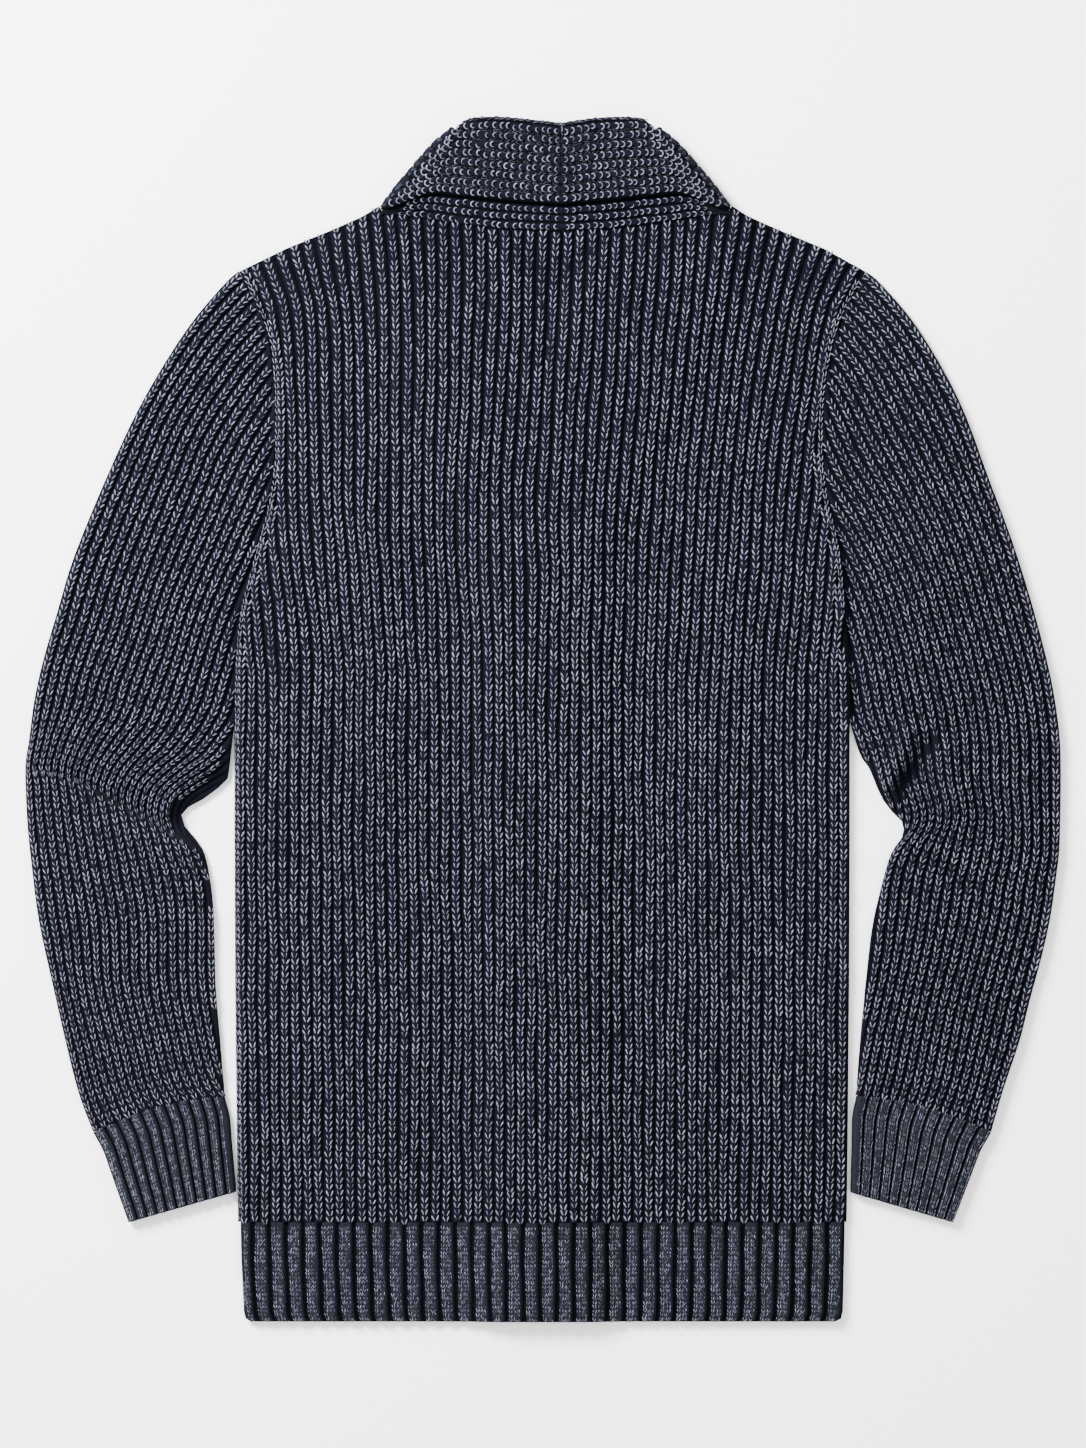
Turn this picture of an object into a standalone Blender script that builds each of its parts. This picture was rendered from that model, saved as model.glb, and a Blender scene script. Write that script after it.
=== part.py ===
"""Shawl-collar cardigan in heavy half-cardigan rib, laid flat on its front.

The back faces up (+Z), the collar points to +Y, and the fronts, the bands and the
buttons lie underneath. The floor is z = 0. Every length here is in millimetres
until a mesh is made, which puts it into metres.
"""
import math

import bmesh
import bpy
from mathutils import Vector
from mathutils.geometry import delaunay_2d_cdt

MM = 0.001

# The cloth
GAP = 0.3            # between pieces that are sewn together or lie on each other
CLOTH = 2.8          # plain wall of the knit
RIB = 1.2            # how far a rib stands out of the wall
LAYER = CLOTH + GAP  # one layer of cloth and the gap above it
EDGE = 0.7           # wall left at a rounded edge
ROUND = 4.0          # how far in from an edge the rounding reaches
SEAM_CLEAR = 2.0     # ribs stop this far from a seam
HEM_CLEAR = 1.1      # and this far from the edges of a hem or cuff
BODY_CLEAR = 0.8     # between a sleeve and the side of the body beside it
CREASE_ANGLE = 25.0  # edges that turn more than this are shaded sharp

# The body
HEM_TOP = -341.5
HEM_BOTTOM = -409.4
BODY_RIBS = 57
BODY_PITCH = 7.34
BODY_MID = -0.5      # middle of the body and of the bands
NECK_MID = 8.5       # the neck lies a little to the right of it
HEM_RIBS = 36

# The front bands and buttons
BAND = 35.0
BAND_TOP = 33.5      # width where the collar begins
BUTTON_RADIUS = 11.0
BUTTON_THICK = 2.1
BUTTON_SIDES = 20
BUTTON_LIFT = BUTTON_THICK + GAP
BUTTON_YS = (105.0, -15.0, -135.0, -255.0, -378.0)
V_TOP = (116.5, 343.4)    # neck end of the collar's front seam, measured out from the middle
V_END = (17.5, 110.0)     # where that seam meets the straight band
COLLAR_END = 165.0        # height at which the collar turns into the band
BAND_TURN_YS = (146.0, 138.0, 130.0, 122.0)    # where the bands come down off the buttons
BAND_YS = (60.0, -60.0, -200.0)                # along the straight stretch below them
BACK_RIDGE = (22.0, 31.0, 40.0, 49.0, 59.0)    # across the ridge that the bands raise in
FRONT_RIDGE = (24.0, 30.0, 36.0, 45.0)         # the back and in the fronts, from the middle

# Left and right edge of the body: the armhole above the underarm, the side below it
BODY_EDGE = (
    # y, left x, right x
    (HEM_TOP, -207.4, 206.5),
    (-180.0, -209.4, 208.2),
    (0.0, -209.9, 208.6),
    (46.0, -208.8, 207.5),
    (73.0, -206.0, 205.5),
    (93.0, -200.6, 204.0),
    (119.0, -193.8, 201.0),
    (141.0, -187.7, 195.5),
    (170.0, -182.9, 190.8),
    (198.0, -182.2, 190.4),
    (227.0, -182.6, 192.0),
    (257.0, -185.6, 197.5),
    (281.0, -194.0, 206.2),
    (304.6, -206.7, 219.4),
)
UNDERARM_Y = 73.0
SLEEVE_LEAVES_Y = {-1: -34.0, 1: -15.0}   # where each sleeve parts from the body's side

# Shoulder line from the armhole to the neck, measured out from the neck's middle
SHOULDER = (
    # out, y
    (183.0, 320.2),
    (155.5, 331.5),
    (130.5, 342.2),
    (121.8, 347.6),
)

# How far the body's ribs have fanned out at each height
FAN = (
    # y, scale
    (-345.0, 0.985),
    (-100.0, 1.0),
    (30.0, 1.0),
    (136.0, 1.053),
    (190.0, 1.07),
    (275.0, 1.114),
    (350.0, 1.155),
)
BACK_RIB_YS = (HEM_TOP + 2.1, -210.0, -80.0, 30.0, 80.0, 118.0, 150.0, 180.0, 215.0, 250.0,
               285.0, 315.0, 350.0)      # heights at which those ribs turn a little

# Points that let the plain underside of the back and of a front follow what they lie on
BACK_GRID = (16.0, 15.0)      # across and up, over the upper back
BACK_GRID_LOW = 172.0
SIDE_YS = (-200.0, -40.0, 90.0)
SIDE_XS = (-176.0, -145.0, -115.0, -85.0, 90.0, 125.0, 160.0)
FRONT_GRID = (12.0, 13.0)     # across and up, over the chest
FRONT_GRID_LOW = 160.0

# Collar, from the centre back to the end of the crease at the neck's side.
# out is measured from the neck's middle; fall is how far the cloth comes back down.
COLLAR_BACK = (
    # seam out, seam y, roll out, roll y, fall
    (0.0, 331.5, 0.0, 405.3, 55.5),
    (36.0, 333.0, 27.0, 408.6, 56.5),
    (70.0, 337.0, 47.0, 409.4, 56.5),
    (97.0, 341.0, 60.0, 407.6, 58.5),
    (116.5, 343.4, 67.5, 400.5, 70.5),
)
# Collar, from that crease down the front edge
COLLAR_FRONT = (
    # seam out, seam y, roll out, roll y, fall
    (98.0, 300.0, 54.0, 352.0, 60.0),
    (72.6, 240.0, 36.0, 284.0, 42.0),
    (53.5, 195.0, 17.0, 222.0, 16.0),
    (40.8, COLLAR_END, 7.5, 168.0, 3.0),
)
CREASE_STEPS = 6
COLLAR_SEAM_X = 12.9
COLLAR_ROWS = 8      # courses that show on the fall
STAND_ROWS = 2       # courses that show under it
NECK_LEVEL = 2.0 * LAYER - 0.5 * GAP   # mid height of the folded collar

# Sleeves: silhouette and ribs. The inner column is where the last rib runs,
# under the body at the top of the arm.
SLEEVE_LEFT = (
    # outer x, outer y, inner x, inner y
    (-206.7, 305.0, -116.0, 214.0),
    (-216.9, 296.1, -124.0, 203.0),
    (-242.1, 266.2, -138.0, 187.0),
    (-270.0, 221.3, -156.0, 155.0),
    (-292.4, 176.5, -172.0, 125.0),
    (-310.8, 131.6, -186.0, 87.0),
    (-325.0, 86.7, -198.0, 46.0),
    (-340.0, 41.8, -205.0, 7.0),
    (-350.2, -3.1, -213.0, -41.0),
    (-352.2, -41.1, -232.0, -66.0),
    (-350.8, -72.0, -238.0, -72.0),
    (-349.0, -100.0, -229.0, -86.0),
    (-343.4, -137.7, -216.0, -112.0),
    (-333.2, -182.6, -214.0, -160.0),
    (-323.0, -227.5, -212.0, -212.0),
    (-314.8, -257.4, -211.0, -240.0),
    (-306.0, -280.5, -210.0, -260.0),
)
SLEEVE_RIGHT = (
    # outer x, outer y, inner x, inner y
    (219.6, 304.4, 128.0, 214.0),
    (230.0, 296.1, 136.0, 203.0),
    (255.2, 266.2, 150.0, 187.0),
    (280.6, 221.3, 166.0, 155.0),
    (300.2, 176.5, 180.0, 125.0),
    (316.5, 131.6, 193.0, 87.0),
    (331.5, 86.7, 202.0, 46.0),
    (343.0, 41.8, 207.0, 10.0),
    (350.0, -3.1, 218.0, -28.0),
    (352.2, -41.1, 234.0, -60.0),
    (351.8, -76.0, 241.0, -74.0),
    (348.3, -108.0, 228.0, -90.0),
    (341.0, -149.0, 216.0, -125.0),
    (332.0, -187.0, 212.0, -160.0),
    (321.6, -227.5, 210.0, -212.0),
    (312.8, -257.4, 208.0, -240.0),
    (304.8, -280.5, 206.0, -260.0),
)
SLEEVE_RIBS = 18

# Inner silhouette of each forearm, from where it parts from the body to the cuff
FOREARM_LEFT = (
    # x, y
    (-218.5, -44.5),
    (-232.0, -56.0),
    (-244.6, -64.0),
    (-245.0, -70.0),
    (-240.5, -78.0),
    (-230.0, -88.0),
    (-225.4, -107.0),
    (-223.5, -140.0),
    (-224.0, -180.0),
    (-220.0, -220.0),
    (-216.5, -256.0),
)
FOREARM_RIGHT = (
    # x, y
    (216.6, -24.0),
    (224.4, -40.0),
    (236.0, -62.0),
    (244.6, -71.0),
    (244.0, -79.0),
    (236.0, -88.0),
    (230.5, -106.0),
    (224.0, -142.0),
    (219.8, -180.0),
    (215.5, -220.0),
    (213.0, -255.5),
)

# Cuffs: the two corners at the wrist end of each
CUFF_LEFT = ((-282.0, -342.0), (-208.5, -321.0))     # outer corner, inner corner
CUFF_RIGHT = ((279.0, -342.0), (209.0, -321.5))
CUFF_RIBS = 11
CUFF_BOW = 5.0       # how far the seam between sleeve and cuff bows
CUFF_DRAW_IN = 2.0   # how far the cuff's rib draws its edges in

# Folds that stand up out of the cloth
SLEEVE_FOLDS = {
    # x, y, end x, end y, half width, height
    -1: (
        (-330.0, -18.0, -250.0, -58.0, 15.0, 4.6),
        (-296.0, -58.0, -232.0, -92.0, 11.0, 3.8),
        (-199.0, 200.0, -204.0, 112.0, 9.0, 2.4),
        (-262.0, 150.0, -252.0, 40.0, 20.0, 1.8),
    ),
    1: (
        (262.0, -22.0, 280.0, -66.0, 13.0, 4.6),
        (245.0, -78.0, 300.0, -104.0, 11.0, 3.6),
        (226.0, -20.0, 238.0, -52.0, 8.0, 3.0),
        (318.0, -20.0, 330.0, -70.0, 14.0, 2.8),
        (262.0, 150.0, 258.0, 50.0, 20.0, 1.8),
    ),
}
BACK_FOLDS = (
    # x, y, end x, end y, half width, height
    (-118.0, 190.0, -112.0, -80.0, 16.0, 1.6),
    (-172.0, 120.0, -176.0, -60.0, 16.0, 1.4),
    (120.0, 160.0, 132.0, -120.0, 22.0, 1.2),
)

KNIT_COLOUR = (0.070, 0.082, 0.125, 1.0)
RIB_COLOUR = (0.060, 0.071, 0.110, 1.0)
BUTTON_COLOUR = (0.020, 0.017, 0.016, 1.0)

SIDE_NAME = {-1: "left", 1: "right"}


# ---------------------------------------------------------------- curves and distances

def smooth_curve(rows, steps):
    """Catmull-Rom curve through the rows, with this many steps from row to row."""
    rows = [tuple(row) for row in rows]
    padded = [rows[0]] + rows + [rows[-1]]
    curve = []
    for i in range(1, len(padded) - 2):
        a, b, c, d = padded[i - 1:i + 3]
        for step in range(steps):
            t = step / steps
            curve.append(tuple(
                0.5 * (2 * q + (r - p) * t + (2 * p - 5 * q + 4 * r - s) * t ** 2
                       + (3 * q - p - 3 * r + s) * t ** 3)
                for p, q, r, s in zip(a, b, c, d)))
    curve.append(rows[-1])
    return curve


def read_table(table, value):
    """Straight-line reading of a two-column table."""
    if value <= table[0][0]:
        return table[0][1]
    for (low, first), (high, second) in zip(table, table[1:]):
        if value <= high:
            return first + (second - first) * (value - low) / (high - low)
    return table[-1][1]


def ease(t):
    """0 to 1, level at both ends."""
    t = min(max(t, 0.0), 1.0)
    return t * t * (3.0 - 2.0 * t)


def cover(distance, flat, ramp):
    """1 up to the distance flat, falling softly to 0 over the next stretch, ramp."""
    return 1.0 - ease((distance - flat) / ramp)


def segment_distance(x, y, a, b):
    """Distance to the stretch from a to b, and how far along it the nearest point is, 0 to 1."""
    dx, dy = b[0] - a[0], b[1] - a[1]
    length2 = dx * dx + dy * dy
    t = 0.0 if length2 == 0.0 else ((x - a[0]) * dx + (y - a[1]) * dy) / length2
    t = min(max(t, 0.0), 1.0)
    return math.hypot(x - a[0] - t * dx, y - a[1] - t * dy), t


def line_distance(x, y, line):
    return min(segment_distance(x, y, a, b)[0] for a, b in zip(line, line[1:]))


def is_inside(x, y, outline):
    inside = False
    for (ax, ay), (bx, by) in zip(outline, outline[1:] + outline[:1]):
        if (ay > y) != (by > y) and x < (bx - ax) * (y - ay) / (by - ay) + ax:
            inside = not inside
    return inside


def area_distance(x, y, outline):
    """Distance to the area inside an outline, 0 within it."""
    if is_inside(x, y, outline):
        return 0.0
    return line_distance(x, y, outline + outline[:1])


def shifted(line, amount):
    """The line moved sideways: to its left where the amount is above 0."""
    moved = []
    for i, (x, y) in enumerate(line):
        ax, ay = line[max(i - 1, 0)]
        bx, by = line[min(i + 1, len(line) - 1)]
        length = math.hypot(bx - ax, by - ay)
        moved.append((x - amount * (by - ay) / length, y + amount * (bx - ax) / length))
    return moved


def trimmed(line, cut):
    """The line with this length cut off at both ends."""
    def cut_start(points):
        left = cut
        for i, (a, b) in enumerate(zip(points, points[1:])):
            length = math.hypot(b[0] - a[0], b[1] - a[1])
            if length > left:
                t = left / length
                return [(a[0] + t * (b[0] - a[0]), a[1] + t * (b[1] - a[1]))] + points[i + 1:]
            left -= length
        return points[-1:]
    return cut_start(cut_start(list(line))[::-1])[::-1]


def fold_height(x, y, folds):
    """How far the folds lift the cloth at one place."""
    total = 0.0
    for ax, ay, bx, by, half_width, height in folds:
        distance, along = segment_distance(x, y, (ax, ay), (bx, by))
        fade = 0.55 + 0.45 * math.sin(math.pi * along)
        total += height * fade * math.exp(-(distance / half_width) ** 2 * 1.6)
    return total


# ---------------------------------------------------------------- outlines of the pieces

def middle(y):
    """The garment's middle line, which leans over towards the neck."""
    return BODY_MID + (NECK_MID - BODY_MID) * ease((y - 110.0) / 235.0)


def across(side, out, y):
    """A point this far out from the middle line: side is -1 on the left and 1 on the right."""
    return middle(y) + side * out, y


def body_edge(side):
    """Side and armhole of the body, from the hem up to the shoulder tip."""
    column = 1 if side < 0 else 2
    return [(row[column], row[0]) for row in smooth_curve(BODY_EDGE, 2)]


def shoulder(side):
    """Shoulder line, from beside the armhole to beside the collar."""
    return [across(side, out, y) for out, y in SHOULDER]


def armhole(side):
    """Armhole, from the shoulder tip down to the underarm."""
    return [p for p in body_edge(side) if p[1] >= UNDERARM_Y][::-1]


def seam_out(y):
    """How far out from the middle line the seam of a collar or band runs."""
    slope = (V_TOP[0] - V_END[0]) / (V_TOP[1] - V_END[1])
    return V_END[0] + slope * max(y - V_END[1], 0.0)


def front_seam(side, clear):
    """Neck edge of a front, from the shoulder's end to the hem, clear of the collar and band."""
    slant = clear / math.cos(math.atan2(V_TOP[0] - V_END[0], V_TOP[1] - V_END[1]))
    heights = [V_TOP[1]] + [row[1] for row in COLLAR_FRONT] + list(BAND_TURN_YS) + [V_END[1]]
    seam = [across(side, seam_out(y) + slant, y) for y in heights]
    return seam + [across(side, V_END[0] + clear, y) for y in BAND_YS + (HEM_TOP,)]


def collar_stations(side):
    """Sections of one collar half: seam point, roll point, fall and turn of the fold.

    The turn goes from 0 on the back, where the fall lies on top, to 180 degrees on
    the front, where it lies underneath.
    """
    offset = side * (COLLAR_SEAM_X - NECK_MID) + 0.5 * GAP
    first = COLLAR_BACK[0]
    rows = [(first[0] + offset, first[1], first[2] + offset, first[3], first[4])]
    rows += COLLAR_BACK[1:]
    back = smooth_curve(rows, 2)
    crease = back[-1]
    front = smooth_curve((crease,) + COLLAR_FRONT, 2)[1:]
    stations = [row + (0.0,) for row in back]
    stations += [crease + (180.0 * i / CREASE_STEPS,) for i in range(1, CREASE_STEPS + 1)]
    stations += [row + (180.0,) for row in front]
    placed = []
    for seam_out, seam_y, roll_out, roll_y, fall, turn in stations:
        seam = Vector(across(side, seam_out, seam_y))
        roll = Vector(across(side, roll_out, roll_y))
        placed.append((seam, roll, fall, turn))
    return placed


def collar_areas(side):
    """Where one collar half lies on the front, and where it lies on the back."""
    areas = []
    for turn_wanted in (180.0, 0.0):
        stations = [s for s in collar_stations(side) if s[3] == turn_wanted]
        seams = [tuple(s[0]) for s in stations]
        rolls = [tuple(s[1]) for s in stations]
        areas.append(seams + rolls[::-1])
        if turn_wanted == 180.0:
            free = []
            for seam, roll, fall, _turn in stations:
                free.append(tuple(roll + (seam - roll).normalized() * fall))
            areas.append(free + rolls[::-1])
    return areas


FRONT_COLLARS = {side: collar_areas(side)[:2] for side in (-1, 1)}
BACK_COLLARS = [collar_areas(side)[2] for side in (-1, 1)]


# ---------------------------------------------------------------- heights of the layers

def collar_lift(side, x, y, flat, ramp):
    """How far the part of the collar that lies on one front lifts what is above it."""
    distance = min(area_distance(x, y, area) for area in FRONT_COLLARS[side])
    return LAYER * cover(distance, flat, ramp)


def button_lift(y):
    """The bands ride on the buttons, up to just above the first one."""
    return BUTTON_LIFT * (1.0 - ease((y - 122.0) / 24.0))


def band_height(side, x, y):
    """Underside of a band. The right one lies on the left one."""
    if side > 0:
        return LAYER + button_lift(y)
    return button_lift(y) + collar_lift(side, x, y, 1.0, 11.0)


def beside_band(out, y):
    """Distance from the band to a place this far out from the middle line, or above it."""
    return max(out - seam_out(y), 0.0) + max(y - COLLAR_END, 0.0)


def front_height(side, x, y):
    """Underside of a front."""
    out = side * (x - middle(y))
    if side > 0:
        band = (LAYER + button_lift(y)) * cover(beside_band(out, y), 0.8, 26.0)
    else:
        band = button_lift(y) * cover(beside_band(out, y), 0.8, 22.0)
    return max(band, collar_lift(side, x, y, 1.5, 14.0))


def back_height(x, y):
    """Underside of the back, which lies on both fronts."""
    beside = beside_band(abs(x - middle(y)), y)
    lift = (LAYER + button_lift(y)) * cover(beside, 8.0, 34.0)
    for side in (-1, 1):
        lift = max(lift, collar_lift(side, x, y, 11.0, 24.0))
    neck = min(area_distance(x, y, area) for area in BACK_COLLARS)
    lift = max(lift, LAYER * cover(neck, 3.0, 26.0))
    return LAYER + lift + fold_height(x, y, BACK_FOLDS)


def rounded_wall(distance):
    """Thickness of the wall this far in from a rounded edge."""
    inward = 1.0 - min(distance, ROUND) / ROUND
    return EDGE + (CLOTH - EDGE) * math.sqrt(1.0 - inward * inward)


# ---------------------------------------------------------------- solids

def spread(outline, lines=(), points=()):
    """Triangles over an outline that run through the lines and points inside it.

    Points of a line are (x, y, rise). Returns the points and the triangles.
    """
    places = [(x, y, 0.0) for x, y in outline]
    edges = []
    for line in lines:
        start = len(places)
        places += line
        edges += [(i, i + 1) for i in range(start, len(places) - 1)]
    places += [(x, y, 0.0) for x, y in points]
    result = delaunay_2d_cdt([Vector(p[:2]) for p in places], edges,
                             [list(range(len(outline)))], 1, 1e-5)
    sources = result[3]
    kept = [places[source[0]] for source in sources]
    return kept, result[2]


class Solid:
    """Walls of one piece, gathered until they close."""

    def __init__(self, name, material):
        self.name = name
        self.material = material
        self.mesh = bmesh.new()

    def face(self, corners):
        self.mesh.faces.new([self.mesh.verts.new(Vector(c) * MM) for c in corners])

    def sheet(self, outline, height, lines=(), points=()):
        """A sheet over the outline at height(x, y, rise)."""
        places, triangles = spread(outline, lines, points)
        lifted = [(x, y, height(x, y, rise)) for x, y, rise in places]
        for triangle in triangles:
            self.face([lifted[i] for i in triangle])

    def strip(self, upper, lower):
        """A strip between two lines of points that share their ends or run side by side."""
        def marks(line):
            total, run = 0.0, [0.0]
            for a, b in zip(line, line[1:]):
                total += math.dist(a[:2], b[:2])
                run.append(total)
            return [value / total for value in run]
        upper_marks, lower_marks = marks(upper), marks(lower)
        i = j = 0
        while i < len(upper) - 1 or j < len(lower) - 1:
            next_upper = upper_marks[i + 1] if i < len(upper) - 1 else 2.0
            next_lower = lower_marks[j + 1] if j < len(lower) - 1 else 2.0
            if next_upper <= next_lower:
                self.face([upper[i], upper[i + 1], lower[j]])
                i += 1
            else:
                self.face([upper[i], lower[j + 1], lower[j]])
                j += 1

    def loft(self, loops):
        """A closed tube through the loops, capped at both ends."""
        for first, second in zip(loops, loops[1:]):
            for i in range(len(first)):
                k = (i + 1) % len(first)
                self.face([first[i], first[k], second[k], second[i]])
        self.face(loops[0])
        self.face(loops[-1])

    def finish(self):
        """Join the walls into one closed body and put it in the scene."""
        bmesh.ops.remove_doubles(self.mesh, verts=self.mesh.verts, dist=0.002 * MM)
        bmesh.ops.triangulate(self.mesh, faces=self.mesh.faces)
        bmesh.ops.recalc_face_normals(self.mesh, faces=self.mesh.faces)
        data = bpy.data.meshes.new(self.name)
        self.mesh.to_mesh(data)
        self.mesh.free()
        data.materials.append(self.material)
        data.shade_smooth()
        data.set_sharp_from_angle(angle=math.radians(CREASE_ANGLE))
        piece = bpy.data.objects.new(self.name, data)
        bpy.context.collection.objects.link(piece)
        return piece


def make_panel(name, material, outline, bottom, wall, ribs=(), creases=(), points=()):
    """One flat layer: bottom(x, y) is its underside and wall(x, y) its thickness.

    Ribs stand up out of the top only. The creases and points shape the plain underside,
    and the top too where it has no ribs.
    """
    solid = Solid(name, material)
    top_lines, top_points = (ribs, ()) if ribs else (creases, points)
    solid.sheet(outline, lambda x, y, rise: bottom(x, y) + wall(x, y) + rise * RIB,
                top_lines, top_points)
    solid.sheet(outline, lambda x, y, rise: bottom(x, y), creases, points)
    ring = outline + outline[:1]
    for a, b in zip(ring, ring[1:]):
        low_a, low_b = bottom(*a), bottom(*b)
        solid.face([(*a, low_a), (*b, low_b), (*b, low_b + wall(*b)), (*a, low_a + wall(*a))])
    return solid.finish()


def make_tube(name, material, outer_fold, inner_fold, top_end, low_end, folds, lines, points):
    """A flattened tube: two layers joined along the folds and open at both ends.

    outer_fold and inner_fold run from the top end to the low end, and each end runs
    from the outer fold to the inner one.
    """
    middle_z = CLOTH + 0.5 * GAP
    fold_lines = (outer_fold, inner_fold)

    def curl(x, y):
        distance = min(line_distance(x, y, line) for line in fold_lines)
        inward = 1.0 - min(distance, ROUND) / ROUND
        return math.sqrt(1.0 - inward * inward)

    def outer_top(x, y, rise):
        full = LAYER + CLOTH - middle_z + fold_height(x, y, folds)
        return middle_z + curl(x, y) * full + rise * RIB

    def outer_low(x, y, _rise):
        return middle_z * (1.0 - curl(x, y))

    def inner_top(x, y, _rise):
        return LAYER + curl(x, y) * fold_height(x, y, folds)

    def inner_low(x, y, _rise):
        return CLOTH

    def inset(fold, amount, first, last):
        inside = [p for p in shifted(fold, amount)
                  if min(math.dist(p, first), math.dist(p, last)) > 1.6 * CLOTH]
        return [first] + inside + [last]

    outline = outer_fold + low_end[1:-1] + inner_fold[::-1] + top_end[1:-1][::-1]
    top_inner = trimmed(top_end, CLOTH * 1.15)
    low_inner = trimmed(low_end, CLOTH * 1.15)
    turning = 1.0 if area_of(outline) > 0.0 else -1.0
    outer_inset = inset(outer_fold, turning * CLOTH, top_inner[0], low_inner[0])
    inner_inset = inset(inner_fold, -turning * CLOTH, top_inner[-1], low_inner[-1])
    inner_outline = outer_inset + low_inner[1:-1] + inner_inset[::-1] + top_inner[1:-1][::-1]

    edge_points = []
    for amount in (0.3 * ROUND, ROUND):
        for fold, sign in ((outer_fold, 1.0), (inner_fold, -1.0)):
            edge_points += [p for p in shifted(fold, sign * turning * amount)
                            if is_inside(*p, outline)
                            and line_distance(*p, outline + outline[:1]) > 0.8 * amount]

    solid = Solid(name, material)
    solid.sheet(outline, outer_top, lines, edge_points[:len(edge_points) // 2])
    solid.sheet(outline, outer_low, points=edge_points)
    kept = [p for p in points if is_inside(*p, inner_outline)
            and line_distance(*p, inner_outline + inner_outline[:1]) > 2.0]
    folded_edge = {p: middle_z for p in outer_inset + inner_inset}
    solid.sheet(inner_outline,
                lambda x, y, rise: folded_edge.get((x, y), inner_top(x, y, rise)), points=kept)
    solid.sheet(inner_outline,
                lambda x, y, rise: folded_edge.get((x, y), inner_low(x, y, rise)))
    for end, end_inner in ((top_end, top_inner), (low_end, low_inner)):
        for outer, inner in ((outer_top, inner_top), (outer_low, inner_low)):
            rim = [(x, y, outer(x, y, 0.0)) for x, y in end]
            hole = [(x, y, folded_edge.get((x, y), inner(x, y, 0.0))) for x, y in end_inner]
            solid.strip(rim, hole)
    return solid.finish()


def area_of(outline):
    """Area of an outline, above 0 where it runs anticlockwise."""
    ring = outline + outline[:1]
    return 0.5 * sum(ax * by - bx * ay for (ax, ay), (bx, by) in zip(ring, ring[1:]))


def kept_stretches(line, outline, clear, shortest=9.0):
    """The stretches of a line that lie inside an outline and clear of its edge."""
    stretches, run = [], []
    ring = outline + outline[:1]
    for a, b in zip(line, line[1:]):
        steps = max(int(math.dist(a[:2], b[:2]) / 2.0), 1)
        for step in range(steps):
            t = step / steps
            p = tuple(q + t * (r - q) for q, r in zip(a, b))
            if is_inside(p[0], p[1], outline) and line_distance(p[0], p[1], ring) > clear:
                run.append((p, step == 0))
            else:
                stretches.append(run)
                run = []
    stretches.append(run)
    kept = []
    for run in stretches:
        if len(run) > 2 and math.dist(run[0][0][:2], run[-1][0][:2]) > shortest:
            corners = [p for i, (p, corner) in enumerate(run)
                       if corner or i in (0, len(run) - 1)]
            kept.append(corners)
    return kept


def make_material(name, colour, roughness):
    material = bpy.data.materials.new(name)
    material.use_nodes = True
    shader = material.node_tree.nodes["Principled BSDF"]
    shader.inputs["Base Color"].default_value = colour
    shader.inputs["Roughness"].default_value = roughness
    shader.inputs["Metallic"].default_value = 0.0
    return material


# ---------------------------------------------------------------- the pieces

def rib_rises(ribs, broad):
    """Places across a run of ribs, 0 to ribs, each with its rise: 0 in a groove, 1 on a rib."""
    marks = ((0.0, 0.0), (0.28, 1.0), (0.72, 1.0)) if broad else ((0.0, 0.0), (0.5, 1.0))
    return [(rib + at, rise) for rib in range(ribs) for at, rise in marks if rib + at > 0.0]


def make_back(material):
    left, right = body_edge(-1), body_edge(1)
    seam = [across(side, out, y - GAP) for side, out, y in
            [(-1, row[0], row[1]) for row in smooth_curve(COLLAR_BACK, 2)[::-1]]
            + [(1, row[0], row[1]) for row in smooth_curve(COLLAR_BACK, 2)[1:]]]
    ridge = [BODY_MID + sign * out for sign, outs in ((1, BACK_RIDGE[::-1]), (-1, BACK_RIDGE))
             for out in outs]
    outline = (left + shoulder(-1) + seam + shoulder(1)[::-1] + right[::-1]
               + [(x, HEM_TOP) for x in ridge])
    free_edges = [[p for p in edge if p[1] <= UNDERARM_Y] for edge in (left, right)]
    free_edges += [left[-1:] + shoulder(-1), right[-1:] + shoulder(1)]

    def wall(x, y):
        return rounded_wall(min(line_distance(x, y, edge) for edge in free_edges))

    ribs = []
    for place, rise in rib_rises(BODY_RIBS, False):
        line = []
        for y in BACK_RIB_YS:
            out = (place - 0.5 * BODY_RIBS) * BODY_PITCH * read_table(FAN, y)
            line.append((middle(y) + out, y, rise))
        ribs += kept_stretches(line, outline, SEAM_CLEAR)
    crease_ys = (HEM_TOP + SEAM_CLEAR, 60.0, 105.0, 122.0, 134.0, 146.0, 160.0)
    creases = [[(x, y, 0.0) for y in crease_ys] for x in ridge]
    step_x, step_y = BACK_GRID
    grid = [(step_x * i, BACK_GRID_LOW + step_y * j) for i in range(-9, 11) for j in range(12)]
    grid += [(x, y) for y in SIDE_YS for x in SIDE_XS]
    grid = [p for p in grid if is_inside(*p, outline)
            and line_distance(*p, outline + outline[:1]) > 5.0]
    return make_panel("back", material, outline, back_height, wall, ribs, creases, grid)


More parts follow.
